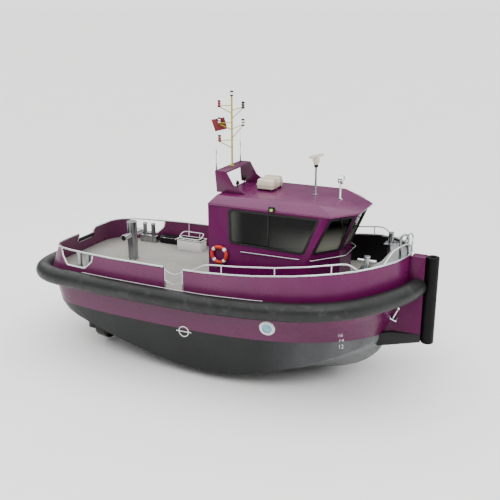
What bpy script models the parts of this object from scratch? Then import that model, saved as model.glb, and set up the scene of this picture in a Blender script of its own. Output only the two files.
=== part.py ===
"""Harbour tugboat, 12 m class, built afloat: +X bow, +Y port, +Z up, z = 0 at the waterline."""
import math

import bmesh
import bpy
from mathutils import Matrix, Vector

# driving dimensions, metres
GAP = 0.0003              # clearance between touching pieces
PAINT_LINE = 0.10         # top of the dark underbody paint
BULWARK_T = 0.025         # bulwark plate thickness
RAIL_R = 0.032            # cap rail tube radius
FENDER_R = 0.27           # radius of the round rubber fender
HOUSE_Y = 1.35            # half breadth of the wheelhouse
HOUSE_AFT = 0.12          # aft face of the wheelhouse
SILL_Z = 2.59             # height where the front windows start to lean forward
EAVES_Z = 3.745           # underside of the roof
ROOF_Z = 4.02             # flat top of the roof
PROP_X, PROP_Y, PROP_Z = -4.02, 0.95, -0.935
PROP_R = 0.345
RUDDER_X = -4.53
KNEE_Y = 0.17             # half breadth of the bow knee
GATE = (-0.88, -0.23)     # fore and aft ends of the side gates

# deck height along the boat: x, z
DECK = [(-6.0, 1.17), (0.4, 1.17), (2.0, 1.25), (3.2, 1.37), (4.4, 1.52), (6.5, 1.78)]
# cap rail height along the boat: x, z
RAIL = [(-6.0, 1.92), (-4.5, 1.94), (0.0, 1.96), (0.7, 1.98), (1.9, 2.08), (3.1, 2.24),
        (4.25, 2.42), (4.85, 2.50), (5.4, 2.56), (6.0, 2.62)]
# half breadth of the deck edge from the transom round to the stem: x, y
DECK_EDGE = [(-5.60, 1.05), (-5.58, 1.40), (-5.49, 1.70), (-5.32, 1.91), (-5.02, 2.05), (-4.57, 2.13),
             (-3.8, 2.19), (-2.8, 2.26), (-1.4, 2.30), (-0.4, 2.31), (0.4, 2.31), (1.2, 2.31),
             (2.0, 2.30), (2.6, 2.29), (3.2, 2.265), (3.8, 2.20), (4.4, 2.05), (4.85, 1.82),
             (5.2, 1.50), (5.45, 1.18), (5.65, 0.86), (5.79, 0.52), (5.85, 0.26), (5.87, 0.0)]
# half breadth of the rail where the stern bulwark leans in, point for point with the deck edge: x, y
RAIL_EDGE = [(-5.34, 1.05), (-5.32, 1.35), (-5.25, 1.60), (-5.10, 1.80), (-4.85, 1.95), (-4.45, 2.06),
             (-3.8, 2.16)] + DECK_EDGE[7:]
# half breadth at the paint line, point for point with the deck edge: x, y
WATER_EDGE = [(-5.26, 1.15), (-5.24, 1.45), (-5.19, 1.68), (-5.06, 1.86), (-4.82, 1.98), (-4.45, 2.07),
              (-3.8, 2.16), (-2.8, 2.25), (-1.4, 2.30), (-0.4, 2.32), (0.4, 2.31), (1.15, 2.26),
              (1.9, 2.16), (2.5, 2.03), (3.05, 1.87), (3.55, 1.66), (4.05, 1.38), (4.42, 1.12),
              (4.72, 0.85), (4.93, 0.62), (5.08, 0.42), (5.19, 0.23), (5.25, 0.11), (5.28, 0.0)]
# chine, point for point with the deck edge: x, y, z
CHINE = [(-5.22, 1.10, -0.04), (-5.20, 1.38, -0.05), (-5.14, 1.60, -0.08), (-5.00, 1.77, -0.12),
         (-4.76, 1.90, -0.18), (-4.40, 2.00, -0.28), (-3.75, 2.10, -0.44), (-2.8, 2.17, -0.69),
         (-1.4, 2.24, -0.99), (-0.4, 2.27, -1.11), (0.4, 2.28, -1.14), (1.15, 2.26, -1.09),
         (1.9, 2.20, -0.96), (2.5, 2.10, -0.83), (3.05, 1.96, -0.68), (3.55, 1.76, -0.53),
         (4.05, 1.46, -0.39), (4.42, 1.17, -0.28), (4.72, 0.89, -0.19), (4.93, 0.64, -0.11),
         (5.08, 0.43, -0.04), (5.19, 0.23, 0.02), (5.25, 0.11, 0.05), (5.29, 0.0, 0.07)]
# keel line, point for point with the deck edge: x, z
KEEL = [(-5.22, -0.07), (-5.20, -0.08), (-5.14, -0.11), (-5.00, -0.15), (-4.76, -0.21), (-4.40, -0.31),
        (-3.75, -0.48), (-2.8, -0.83), (-1.4, -1.26), (-0.4, -1.42), (0.4, -1.46), (1.15, -1.47),
        (1.9, -1.47), (2.5, -1.46), (3.05, -1.43), (3.55, -1.37), (4.05, -1.24), (4.42, -1.09),
        (4.72, -0.90), (4.93, -0.72), (5.08, -0.55), (5.20, -0.36), (5.28, -0.16), (5.31, -0.02)]

PARTS = "tugboat"
CUTTERS = "tugboat_cutters"

for ob in list(bpy.data.objects):
    bpy.data.objects.remove(ob, do_unlink=True)
parts = bpy.data.collections.new(PARTS)
cutters = bpy.data.collections.new(CUTTERS)
bpy.context.scene.collection.children.link(parts)
bpy.context.scene.collection.children.link(cutters)

# painted, rubber, steel and glass colours: name, sRGB hex, metallic, roughness, alpha
COLOURS = [
    ("purple_paint", "6E1152", 0.0, 0.28, 1.0),
    ("underbody_paint", "3A3B3B", 0.0, 0.45, 1.0),
    ("deck_paint", "93918B", 0.0, 0.70, 1.0),
    ("fender_rubber", "2B2C2C", 0.0, 0.75, 1.0),
    ("stainless_tube", "C9CCCD", 1.0, 0.25, 1.0),
    ("bollard_steel", "8E9192", 0.9, 0.38, 1.0),
    ("mast_yellow", "A8A03C", 0.0, 0.40, 1.0),
    ("raft_shell", "D8D0BC", 0.0, 0.45, 1.0),
    ("dark_fitting", "1E1F20", 0.0, 0.50, 1.0),
    ("white_fitting", "E6E6E2", 0.0, 0.40, 1.0),
    ("window_glass", "39464B", 0.0, 0.05, 0.35),
    ("ring_orange", "D9431E", 0.0, 0.55, 1.0),
    ("flag_cloth", "C01828", 0.0, 0.85, 1.0),
    ("bronze", "A9793F", 1.0, 0.32, 1.0),
    ("hatch_paint", "C9C8C3", 0.0, 0.50, 1.0),
    ("seat_vinyl", "26282B", 0.0, 0.60, 1.0),
]


def linear(hex_value):
    out = []
    for i in (0, 2, 4):
        c = int(hex_value[i:i + 2], 16) / 255.0
        out.append(c / 12.92 if c <= 0.04045 else ((c + 0.055) / 1.055) ** 2.4)
    return out


MATS = {}
for name, hex_value, metallic, rough, alpha in COLOURS:
    m = bpy.data.materials.new(name)
    m.use_nodes = True
    p = m.node_tree.nodes["Principled BSDF"]
    p.inputs["Base Color"].default_value = (*linear(hex_value), 1.0)
    p.inputs["Metallic"].default_value = metallic
    p.inputs["Roughness"].default_value = rough
    p.inputs["Alpha"].default_value = alpha
    m.diffuse_color = (*linear(hex_value), alpha)
    MATS[name] = m


SIDES = [("starboard", -1), ("port", 1)]


def own(name, mat):
    m = MATS[mat].copy()
    m.name = name + "_" + mat
    return m


def put(name, mesh, mat=None, cutter=False):
    ob = bpy.data.objects.new(name, mesh)
    (cutters if cutter else parts).objects.link(ob)
    if cutter:
        ob.hide_render = True
        ob.display_type = "WIRE"
    if mat:
        mesh.materials.clear()
        mesh.materials.append(own(name, mat))
    return ob


def shade(ob, angle=35.0):
    for f in ob.data.polygons:
        f.use_smooth = True
    ob.data.set_sharp_from_angle(angle=math.radians(angle))
    return ob


def clean(bm):
    bmesh.ops.remove_doubles(bm, verts=bm.verts, dist=1e-5)
    bmesh.ops.dissolve_degenerate(bm, edges=bm.edges, dist=1e-6)
    bmesh.ops.recalc_face_normals(bm, faces=bm.faces)


def loft(name, rings, mat=None, cutter=False, closed=False):
    """Skin matching rings of points; the ends are capped unless the loft closes on itself."""
    bm = bmesh.new()
    rows = [[bm.verts.new(p) for p in ring] for ring in rings]
    n = len(rows[0])
    pairs = list(zip(rows, rows[1:])) + ([(rows[-1], rows[0])] if closed else [])
    for a, b in pairs:
        for i in range(n):
            j = (i + 1) % n
            quad = [a[i], a[j], b[j], b[i]]
            if len({tuple(v.co) for v in quad}) > 2:
                bm.faces.new(quad)
    if not closed:
        for row in (rows[0], rows[-1]):
            if len({tuple(v.co) for v in row}) > 2 and not flat_line(row):
                bm.faces.new(row)
    bmesh.ops.triangulate(bm, faces=[f for f in bm.faces if len(f.verts) == 4], quad_method="FIXED")
    clean(bm)
    me = bpy.data.meshes.new(name)
    bm.to_mesh(me)
    bm.free()
    return put(name, me, mat, cutter)


def flat_line(row):
    a = Vector(row[0].co)
    far = max(row, key=lambda v: (v.co - a).length)
    d = (far.co - a)
    if d.length < 1e-6:
        return True
    d.normalize()
    return all(((v.co - a) - d * (v.co - a).dot(d)).length < 1e-5 for v in row)


def table(rows, x):
    for (x0, *a), (x1, *b) in zip(rows, rows[1:]):
        if x0 <= x <= x1:
            t = (x - x0) / (x1 - x0)
            out = [p + (q - p) * t for p, q in zip(a, b)]
            return out[0] if len(out) == 1 else out
    row = rows[0] if x < rows[0][0] else rows[-1]
    return row[1] if len(row) == 2 else list(row[1:])


def offset(points, d):
    """Move an open plan line sideways by d, outboard positive."""
    out = []
    for i, p in enumerate(points):
        a = Vector(points[max(i - 1, 0)][:2])
        b = Vector(points[min(i + 1, len(points) - 1)][:2])
        t = (b - a).normalized()
        n = Vector((-t.y, t.x))
        q = Vector(p[:2]) + n * d
        out.append((q.x, q.y))
    return out


def plan(d, rows=None):
    """Half breadth line, moved outboard by d, from the transom to the stem."""
    rows = rows or DECK_EDGE
    line = offset(rows, d)
    line[0] = (rows[0][0] - d, rows[0][1])
    line[-1] = (rows[-1][0] + d, 0.0)
    return line


def around(line):
    """Full outline: starboard from the transom to the stem, then port back to the transom."""
    star = [(x, -y) for x, y in line]
    port = [(x, y) for x, y in reversed(line)]
    return star + port[1:]


def hull_rings(d, which):
    """Sections of the hull, moved outboard by d: the upper part, the lower part or both with bulwarks."""
    dk, wl = plan(d), plan(d, WATER_EDGE)
    ch = plan(d, [(x, y) for x, y, z in CHINE])
    rings = []
    for i in range(len(DECK_EDGE)):
        zd = table(DECK, DECK_EDGE[i][0])
        half = []
        if which == "both":
            half.append((*dk[i], table(RAIL, DECK_EDGE[i][0]) + 0.2))
        if which != "lower":
            half.append((*dk[i], zd))
            mid = [wl[i][k] + (dk[i][k] - wl[i][k]) * 0.39 for k in (0, 1)]
            half.append((*mid, PAINT_LINE + (zd - PAINT_LINE) * 0.45))
        half.append((*wl[i], PAINT_LINE - (GAP if which == "lower" else 0.0)))
        if which != "upper":
            half.append((*ch[i], CHINE[i][2] - d))
            half.append((ch[i][0], 0.0, KEEL[i][1] - d))
        star = [(x, -y, z) for x, y, z in half]
        port = half[::-1]
        rings.append(star + (port if which == "upper" else port[1:]))
    return rings


def box(name, lo, hi, mat=None, cutter=False, bevel=0.0, segments=2):
    bm = bmesh.new()
    bmesh.ops.create_cube(bm, size=1.0)
    size = Vector(hi) - Vector(lo)
    mid = (Vector(hi) + Vector(lo)) / 2
    bmesh.ops.scale(bm, vec=size, verts=bm.verts)
    me = bpy.data.meshes.new(name)
    bm.to_mesh(me)
    bm.free()
    ob = put(name, me, mat, cutter)
    ob.location = mid
    if bevel:
        m = ob.modifiers.new("edge", "BEVEL")
        m.width = bevel
        m.segments = segments
    return ob


def cylinder(name, r, a, b, mat=None, cutter=False, n=24, r2=None):
    a, b = Vector(a), Vector(b)
    bm = bmesh.new()
    bmesh.ops.create_cone(bm, cap_ends=True, segments=n, radius1=r, radius2=r if r2 is None else r2,
                          depth=(b - a).length)
    me = bpy.data.meshes.new(name)
    bm.to_mesh(me)
    bm.free()
    ob = put(name, me, mat, cutter)
    ob.rotation_euler = Vector((0, 0, 1)).rotation_difference((b - a).normalized()).to_euler()
    ob.location = (a + b) / 2
    if not cutter:
        shade(ob)
    return ob


def tube(name, points, r, mat=None, cutter=False, sides=2, closed=False):
    """Round bar along a line of points, turned from a curve into a mesh."""
    cu = bpy.data.curves.new(name + "_line", "CURVE")
    cu.dimensions = "3D"
    cu.bevel_depth = r
    cu.bevel_resolution = sides
    cu.use_fill_caps = not closed
    sp = cu.splines.new("POLY")
    sp.points.add(len(points) - 1)
    for p, q in zip(sp.points, points):
        p.co = (*q, 1.0)
    sp.use_cyclic_u = closed
    tmp = bpy.data.objects.new(name + "_line", cu)
    bpy.context.scene.collection.objects.link(tmp)
    me = bpy.data.meshes.new_from_object(tmp.evaluated_get(bpy.context.evaluated_depsgraph_get()))
    bpy.data.objects.remove(tmp, do_unlink=True)
    bm = bmesh.new()
    bm.from_mesh(me)
    clean(bm)
    bm.to_mesh(me)
    bm.free()
    ob = put(name, me, mat, cutter)
    return shade(ob, 50.0)


def plate(name, outline, depth, place, mat=None, cutter=False, holes=()):
    """Flat plate: outline and holes in its own X and Y, extruded along +Z, then placed."""
    cu = bpy.data.curves.new(name + "_line", "CURVE")
    cu.dimensions = "2D"
    cu.fill_mode = "BOTH"
    cu.extrude = depth / 2
    for ring in [outline, *holes]:
        sp = cu.splines.new("POLY")
        sp.points.add(len(ring) - 1)
        for p, q in zip(sp.points, ring):
            p.co = (q[0], q[1], 0.0, 1.0)
        sp.use_cyclic_u = True
    tmp = bpy.data.objects.new(name + "_line", cu)
    bpy.context.scene.collection.objects.link(tmp)
    me = bpy.data.meshes.new_from_object(tmp.evaluated_get(bpy.context.evaluated_depsgraph_get()))
    bpy.data.objects.remove(tmp, do_unlink=True)
    bm = bmesh.new()
    bm.from_mesh(me)
    bmesh.ops.translate(bm, vec=(0, 0, depth / 2), verts=bm.verts)
    clean(bm)
    bm.to_mesh(me)
    bm.free()
    ob = put(name, me, mat, cutter)
    ob.matrix_world = place
    return ob


def frame(origin, u, v):
    """Placement whose X runs along u, Y near v and Z along u cross v."""
    u = Vector(u).normalized()
    w = u.cross(Vector(v)).normalized()
    v = w.cross(u)
    m = Matrix((u, v, w)).transposed().to_4x4()
    m.translation = Vector(origin)
    return m


XZ = (1, 0, 0), (0, 0, 1)     # side view plates grow toward starboard
YZ = (0, 1, 0), (0, 0, 1)     # end view plates grow forward


def rounded(points, r, n=4):
    """Round the corners of a closed outline."""
    out = []
    k = len(points)
    for i in range(k):
        p = Vector(points[i])
        a, b = Vector(points[i - 1]) - p, Vector(points[(i + 1) % k]) - p
        half = a.angle(b) / 2
        cut = min(r / math.tan(half), a.length * 0.45, b.length * 0.45)
        rr = cut * math.tan(half)
        c = p + (a.normalized() + b.normalized()).normalized() * (rr / math.sin(half))
        p0, p1 = p + a.normalized() * cut, p + b.normalized() * cut
        v0, v1 = p0 - c, p1 - c
        sweep = v0.angle_signed(v1)
        for j in range(n + 1):
            t = -sweep * j / n
            out.append((c.x + v0.x * math.cos(t) - v0.y * math.sin(t),
                        c.y + v0.x * math.sin(t) + v0.y * math.cos(t)))
    return out


def boolean(ob, others, operation):
    for o in others:
        m = ob.modifiers.new(operation.lower(), "BOOLEAN")
        m.operation = operation
        m.solver = "EXACT"
        m.object = o
    return ob


def lathe(name, profile, place, steps=24, mat=None, cutter=False):
    """Turn a profile of radius and height round the local Z axis."""
    me = bpy.data.meshes.new(name)
    me.from_pydata([(r, 0, z) for r, z in profile], [(i, i + 1) for i in range(len(profile) - 1)], [])
    ob = put(name, me, mat, cutter)
    s = ob.modifiers.new("turn", "SCREW")
    s.steps = s.render_steps = steps
    s.merge_threshold = 0.0001
    s.use_merge_vertices = True
    s.use_normal_calculate = True
    s.use_smooth_shade = True
    ob.matrix_world = place
    return ob


def at(x, y, z, rx=0.0, ry=0.0, rz=0.0):
    return (Matrix.Translation((x, y, z)) @ Matrix.Rotation(math.radians(rz), 4, "Z")
            @ Matrix.Rotation(math.radians(ry), 4, "Y") @ Matrix.Rotation(math.radians(rx), 4, "X"))


# hull
loft("hull_topsides", hull_rings(0.0, "upper"), "purple_paint")
bottom = loft("hull_bottom", hull_rings(0.0, "lower"), "underbody_paint")
boolean(bottom, [cylinder("rudder_trunk_" + side, 0.065, (RUDDER_X, s * PROP_Y, -0.33),
                          (RUDDER_X, s * PROP_Y, -0.05), cutter=True) for side, s in SIDES], "UNION")
hull_cutter = loft("hull_cutter", hull_rings(0.0006, "both"), cutter=True)

# deck plate inside the bulwarks
n = len(DECK_EDGE)
deck_rings = []
inner = plan(-BULWARK_T - 0.006)
for i in range(n):
    x, y = inner[i]
    z = table(DECK, x) + GAP
    deck_rings.append([(x, -y, z), (x, -y, z + 0.012), (x, y, z + 0.012), (x, y, z)])
loft("deck", deck_rings, "deck_paint")
DECK_TOP = 0.012 + 2 * GAP

# bulwarks
def split_rows(lines):
    """Rows of matching points from several half breadth lines, with points added at the gates."""
    rows = [tuple(c for p in row for c in p) for row in zip(*lines)]
    out = []
    for a, b in zip(rows, rows[1:]):
        out.append(a)
        for g in GATE:
            if a[0] < g < b[0]:
                t = (g - a[0]) / (b[0] - a[0])
                out.append(tuple(p + (q - p) * t for p, q in zip(a, b)))
    out.append(rows[-1])
    return out


def mirror(rows):
    return [tuple(-c if i % 2 else c for i, c in enumerate(r)) for r in rows]


def bulwark(name, rows):
    rings = []
    for x, y, xi, yi, xr, yr, xri, yri in rows:
        z0 = table(DECK, x) + GAP
        z1 = table(RAIL, xr) - RAIL_R - (0.0006 if x < 0 else 0.0015)
        rings.append([(x, y, z0), (xr, yr, z1), (xri, yri, z1), (xi, yi, z0)])
    return loft(name, rings, "purple_paint")


half = split_rows([plan(0.0), plan(-BULWARK_T), plan(0.0, RAIL_EDGE), plan(-BULWARK_T, RAIL_EDGE)])
aft = [r for r in half if r[0] <= GATE[0] + 1e-6]
fwd = [r for r in half if r[0] >= GATE[1] - 1e-6]
bul_aft = bulwark("bulwark_aft", aft[::-1] + mirror(aft))
bul_fwd = bulwark("bulwark_forward", mirror(fwd) + fwd[::-1][1:])

mooring = rounded([(-4.58, 1.44), (-3.85, 1.44), (-3.56, 1.70), (-3.50, 2.2), (-4.86, 2.2), (-4.80, 1.70)], 0.05, 2)
notch = [(-0.42, 1.60), (0.42, 1.60), (0.42, 2.3), (-0.42, 2.3)]
cut_m = plate("mooring_cutter", mooring, 6.0, frame((0, 3.0, 0), *XZ), cutter=True)
cut_n = plate("stern_notch_cutter", notch, 0.6, frame((-5.75, 0, 0), *YZ), cutter=True)
boolean(bul_aft, [cut_m, cut_n], "DIFFERENCE")

# cap rails
mid_line = plan(-BULWARK_T / 2, RAIL_EDGE)


def rail_points(x0, x1, sign):
    out = []
    for a, b in zip(mid_line, mid_line[1:]):
        if x0 <= a[0] <= x1:
            out.append(a)
        for g in (x0, x1):
            if a[0] < g < b[0]:
                t = (g - a[0]) / (b[0] - a[0])
                out.append((g, a[1] + (b[1] - a[1]) * t))
    if mid_line[-1][0] <= x1:
        out.append(mid_line[-1])
    return [(x, sign * y, table(RAIL, x)) for x, y in out]


for side, s in SIDES:
    pts = rail_points(-9, GATE[0] - 0.001, s)
    tip = (pts[0][0], s * 0.47, pts[0][2])
    tube("cap_rail_aft_" + side, [tip] + pts, RAIL_R, "stainless_tube")
pts = rail_points(GATE[1] + 0.001, 9, -1)
cap = tube("cap_rail_forward", pts + [(x, -y, z) for x, y, z in reversed(pts[:-1])], RAIL_R, "stainless_tube")
raised = []
for side, s in SIDES:
    bow = [(5.42, s * 1.205, 2.58), (5.52, s * 1.07, 2.80), (5.60, s * 0.93, 2.93), (5.70, s * 0.72, 2.97),
           (5.79, s * 0.46, 2.99), (5.83, s * 0.30, 2.99), (5.852, s * 0.16, 2.93), (5.855, s * 0.14, 2.62)]
    raised.append(tube("bow_rail_" + side, bow, 0.018, cutter=True))
boolean(cap, raised, "UNION")

# round fender, one length a side from the stern to the knee
FENDER_Z = [(-7.0, 1.11), (0.4, 1.11), (2.0, 1.19), (3.2, 1.30), (4.2, 1.42), (5.2, 1.58), (6.3, 1.73)]
rows = plan(FENDER_R + 0.008)
for side, s in SIDES:
    pts = [(rows[0][0], s * 0.0015, table(FENDER_Z, rows[0][0]))]
    pts += [(x, s * y, table(FENDER_Z, x)) for x, y in rows[:-1] if y > KNEE_Y + 0.06]
    pts.append((rows[-1][0], s * 0.01, table(FENDER_Z, rows[-1][0])))
    f = tube("fender_" + side, pts, FENDER_R, "fender_rubber", sides=4)
    boolean(f, [box("knee_slot_" + side, (5.0, -KNEE_Y - GAP, 1.0), (7.0, KNEE_Y + GAP, 2.6), cutter=True),
                cylinder("bow_slot_" + side, 0.186, (6.4955, 0, 1.0), (6.4955, 0, 2.6), cutter=True, n=32)],
            "DIFFERENCE")

# bow knee and its upright rubber fender
knee = [(5.93, 2.585), (6.3152, 2.585), (6.3152, 0.03), (5.0, -0.28), (5.0, 2.3), (5.93, 2.50)]
k = plate("bow_knee", knee, 2 * KNEE_Y, frame((0, KNEE_Y, 0), *XZ), "purple_paint")
foot = loft("knee_foot", [[(x, -y, z0), (x, y, z0), (x, y, z1), (x, -y, z1)] for x, y, z0, z1 in
                          ((5.10, 0.30, -0.256, 0.12), (5.45, 0.27, -0.174, 0.24), (6.3152, 0.175, 0.03, 0.27))],
            cutter=True)
boolean(k, [foot], "UNION")
boolean(k, [hull_cutter], "DIFFERENCE")
BOW_X = 6.3155 + 0.18
cylinder("bow_fender", 0.18, (BOW_X, 0, 0.0), (BOW_X, 0, 2.60), "fender_rubber", n=32)

# skeg
sk = plate("skeg", [(-4.3, -0.2), (-0.6, -0.2), (-0.6, -1.46), (-4.1, -1.46)], 0.10,
           frame((0, 0.05, 0), *XZ), "underbody_paint")
boolean(sk, [hull_cutter], "DIFFERENCE")

# tow post with its cross pipe
post = cylinder("tow_post", 0.165, (-3.47, 0, 1.17 + DECK_TOP), (-3.47, 0, 2.48), "bollard_steel", n=32)
bar = cylinder("tow_post_bar", 0.088, (-3.47, -0.52, 2.03), (-3.47, 0.52, 2.03), cutter=True)
foot = cylinder("tow_post_foot", 0.20, (-3.47, 0, 1.17 + DECK_TOP), (-3.47, 0, 1.20), cutter=True)
boolean(post, [bar, foot], "UNION")

# double bollards on the quarters
for side, s in SIDES:
    y = s * 1.93
    base = box("bollard_" + side, (-4.36, y - 0.11, 1.17 + DECK_TOP), (-3.69, y + 0.11, 1.42), "bollard_steel")
    add = []
    for i, x in enumerate((-4.20, -3.86)):
        add.append(cylinder(f"bollard_{side}_{i}", 0.078, (x, y, 1.38), (x, y, 1.86), cutter=True))
        add.append(cylinder(f"bollard_{side}_cap{i}", 0.088, (x, y, 1.83), (x, y, 1.85), cutter=True))
    boolean(base, add, "UNION")

# low locker against the port bulwark
box("deck_locker", (-3.58, 1.90, 1.17 + DECK_TOP), (-2.76, 2.16, 1.46), "dark_fitting", bevel=0.02)

# cross bollards on pedestals on the foredeck
for side, s in SIDES:
    x, y = 4.96, s * 1.27
    z0 = table(DECK, x + 0.10) + DECK_TOP
    p = cylinder("cross_bollard_" + side, 0.06, (x, y, 2.40), (x, y, 2.79), "bollard_steel")
    add = [cylinder(f"cross_{side}", 0.045, (x - 0.26, y, 2.66), (x + 0.26, y, 2.66), cutter=True),
           cylinder(f"pedestal_{side}", 0.10, (x, y, z0), (x, y, 2.43), cutter=True),
           box(f"pedestal_top_{side}", (x - 0.18, y - 0.18, 2.42), (x + 0.18, y + 0.18, 2.45), cutter=True)]
    boolean(p, add, "UNION")

# bow staple
a, b = Vector((5.57, -0.075, 0)), Vector((5.76, 0.075, 0))
feet = [table(DECK, p.x + 0.036) + DECK_TOP for p in (a, b)]
side_up = [(0.0, feet[0]), (0.0, 3.02), (0.12, 3.10), (0.30, 3.14), (0.70, 3.14), (0.88, 3.10), (1.0, 3.02),
           (1.0, feet[1])]
tube("bow_staple", [tuple(a.lerp(b, t).xy) + (z,) for t, z in side_up], 0.036, "bollard_steel")

# stern roller
cylinder("stern_roller", 0.07, (-5.40, -0.42 + GAP, 1.68), (-5.40, 0.42 - GAP, 1.68), "dark_fitting")

# deck hatch
HX, HY = (-2.66, -1.70), (1.50, 1.96)
hz = 1.17 + DECK_TOP
co = box("hatch_coaming", (HX[0], HY[0], hz), (HX[1], HY[1], 1.53), "hatch_paint")
boolean(co, [box("hatch_cutter", (HX[0] + 0.03, HY[0] + 0.03, hz + 0.02), (HX[1] - 0.03, HY[1] - 0.03, 1.6),
                 cutter=True)], "DIFFERENCE")
lid = box("hatch_lid", (HX[0] - 0.01, HY[0] - 0.01, 1.5303), (HX[1] + 0.01, HY[1] + 0.01, 1.56), "dark_fitting")
loop = [(HX[0] + 0.10, HY[0] + 0.08), (HX[1] - 0.10, HY[0] + 0.08), (HX[1] - 0.10, HY[1] - 0.08),
        (HX[0] + 0.10, HY[1] - 0.08)]
grab = [tube("hatch_grab", [(x, y, 1.74) for x, y in rounded(loop, 0.10)], 0.013, cutter=True, closed=True)]
grab += [tube(f"hatch_grab_leg{i}", [(x, y, 1.55), (x, y, 1.74)], 0.011, cutter=True)
         for i, (x, y) in enumerate([(-2.40, loop[0][1]), (-1.96, loop[0][1]), (-2.40, loop[2][1]), (-1.96, loop[2][1])])]
boolean(lid, grab, "UNION")

# gate posts with two chains each
for side, s in SIDES:
    y = s * (2.305 - BULWARK_T / 2)
    x0, x1 = GATE[0] + 0.03, GATE[1] - 0.03
    z0 = 1.17 + DECK_TOP
    a = tube("gate_chains_" + side, [(x0, y, z0), (x0, y, 1.93)], 0.016, "stainless_tube")
    add = [tube(f"gate_{side}_b", [(x1, y, z0), (x1, y, 1.93)], 0.016, cutter=True)]
    for i, z in enumerate((1.88, 1.55)):
        sag = [(x0 + (x1 - x0) * t / 8, y, z - 0.10 * (1 - (t / 4 - 1) ** 2)) for t in range(9)]
        add.append(tube(f"gate_{side}_chain{i}", sag, 0.010, cutter=True, sides=1))
    boolean(a, add, "UNION")

# guard rails on the bulwarks
for side, s in SIDES:
    line = plan(-BULWARK_T / 2)

    def above(x, h):
        return (x, s * table(line, x), table(RAIL, x) + h)
    run = [(0.10, RAIL_R + 0.021), (0.34, 0.17), (0.50, 0.235), (0.68, 0.26), (1.5, 0.255), (2.65, 0.245),
           (3.6, 0.25), (4.40, 0.26), (4.56, 0.245), (4.68, 0.19), (4.84, RAIL_R + 0.024)]
    g = tube("guard_rail_" + side, [above(x, h) for x, h in run], 0.017, "stainless_tube")
    add = [tube(f"guard_{side}_{x}", [above(x, RAIL_R + 0.005), above(x, 0.25)], 0.014, cutter=True)
           for x in (1.02, 2.65, 4.22)]
    boolean(g, add, "UNION")

# wheelhouse shell
def house_ring(z, inset):
    lean = max(0.0, z - SILL_Z) * (0.53 / 1.155)
    pts = [(HOUSE_AFT, HOUSE_Y), (0.4, HOUSE_Y), (2.0, HOUSE_Y), (3.2, HOUSE_Y), (3.33 + lean, HOUSE_Y),
           (3.95 + lean * 0.90, 0.55 + lean * 0.13)]
    line = offset(pts, -inset)
    k = inset * 0.55
    line[0] = (HOUSE_AFT + inset, HOUSE_Y - inset)
    line[1], line[2], line[3] = [(p[0], HOUSE_Y - inset) for p in (pts[1], pts[2], pts[3])]
    line[4] = (pts[4][0] - k, HOUSE_Y - inset)
    line[5] = (pts[5][0] - inset, pts[5][1] - k)
    return [(x, -y) for x, y in line] + [(x, y) for x, y in reversed(line)]


def house(name, inset, low, high, mat=None, cutter=False):
    rings = []
    for z in (low, SILL_Z, high):
        ring = house_ring(SILL_Z if z is None else z, inset)
        rings.append([(x, y, (table(DECK, x) + DECK_TOP) if z is None else z) for x, y in ring])
    return loft(name, rings, mat, cutter)


shell = house("wheelhouse", 0.0, None, EAVES_Z - GAP, "purple_paint")
hollow = house("wheelhouse_hollow", 0.06, 0.9, EAVES_Z + 0.4, cutter=True)
side_win = rounded([(0.83, 2.66), (3.12, 2.60), (3.56, 3.66), (0.80, 3.66)], 0.10)
side_cut = plate("side_window_cutter", side_win, 3.2, frame((0, 1.6, 0), *XZ), cutter=True)
bottom_a, bottom_b = Vector((3.33, 1.35, SILL_Z)), Vector((3.95, 0.55, SILL_Z))
lean = (3.70 - SILL_Z) * (0.53 / 1.155)
top_a = Vector((3.33 + lean, 1.35, 3.70))
top_b = Vector((3.95 + lean * 0.90, 0.55 + lean * 0.13, 3.70))
corner_cuts, panes = [], []
for side, s in SIDES:
    a, b, c = [Vector((v.x, s * v.y, v.z)) for v in (bottom_a, bottom_b, top_a)]
    u = (b - a).normalized()
    up = (c - a)
    place = frame(a, u, up)
    wall = (b - a).length
    inv = place.inverted()
    tb = inv @ Vector((top_b.x, s * top_b.y, top_b.z))
    ta = inv @ c
    quad = [(0.08, 0.05), (wall - 0.07, 0.05), (tb.x - 0.07, tb.y - 0.03), (ta.x + 0.09, ta.y - 0.03)]
    hole = rounded(quad, 0.07)
    corner_cuts.append(plate(f"corner_cutter_{side}", hole, 0.4, place @ Matrix.Translation((0, 0, -0.2)),
                             cutter=True))
    inward = -1 if (place.to_3x3() @ Vector((0, 0, 1))).x > 0 else 1
    small = rounded([(0.0805 + 0.0, 0.0505), (wall - 0.0705, 0.0505), (tb.x - 0.0705, tb.y - 0.0305),
                     (ta.x + 0.0905, ta.y - 0.0305)], 0.07)
    plate("glass_corner_" + side, small, 0.006, place @ Matrix.Translation((0, 0, inward * 0.03 - 0.003)),
          "window_glass")
fa = Vector((3.95, 0.55, SILL_Z))
fplace = frame((3.95, 0, SILL_Z), (0, 1, 0), Vector((lean * 0.90, 0, 3.70 - SILL_Z)))
fh = Vector((lean * 0.90, 0, 3.70 - SILL_Z)).length
front = rounded([(-0.48, 0.05), (0.48, 0.05), (0.53, fh - 0.03), (-0.53, fh - 0.03)], 0.07)
front_cut = plate("front_cutter", front, 0.4, fplace @ Matrix.Translation((0, 0, -0.2)), cutter=True)
fsmall = rounded([(-0.4795, 0.0505), (0.4795, 0.0505), (0.5295, fh - 0.0305), (-0.5295, fh - 0.0305)], 0.07)
plate("glass_front", fsmall, 0.006, fplace @ Matrix.Translation((0, 0, -0.033)), "window_glass")
for side, s in SIDES:
    small = [(x + (0.0005 if x < 2 else -0.0005), z + (0.0005 if z < 3 else -0.0005)) for x, z in side_win]
    plate("glass_side_" + side, small, 0.006, frame((0, s * (HOUSE_Y - 0.03) + 0.003, 0), *XZ), "window_glass")
DOOR = [(-0.36, 1.32), (0.36, 1.32), (0.36, 3.22), (-0.36, 3.22)]
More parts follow.
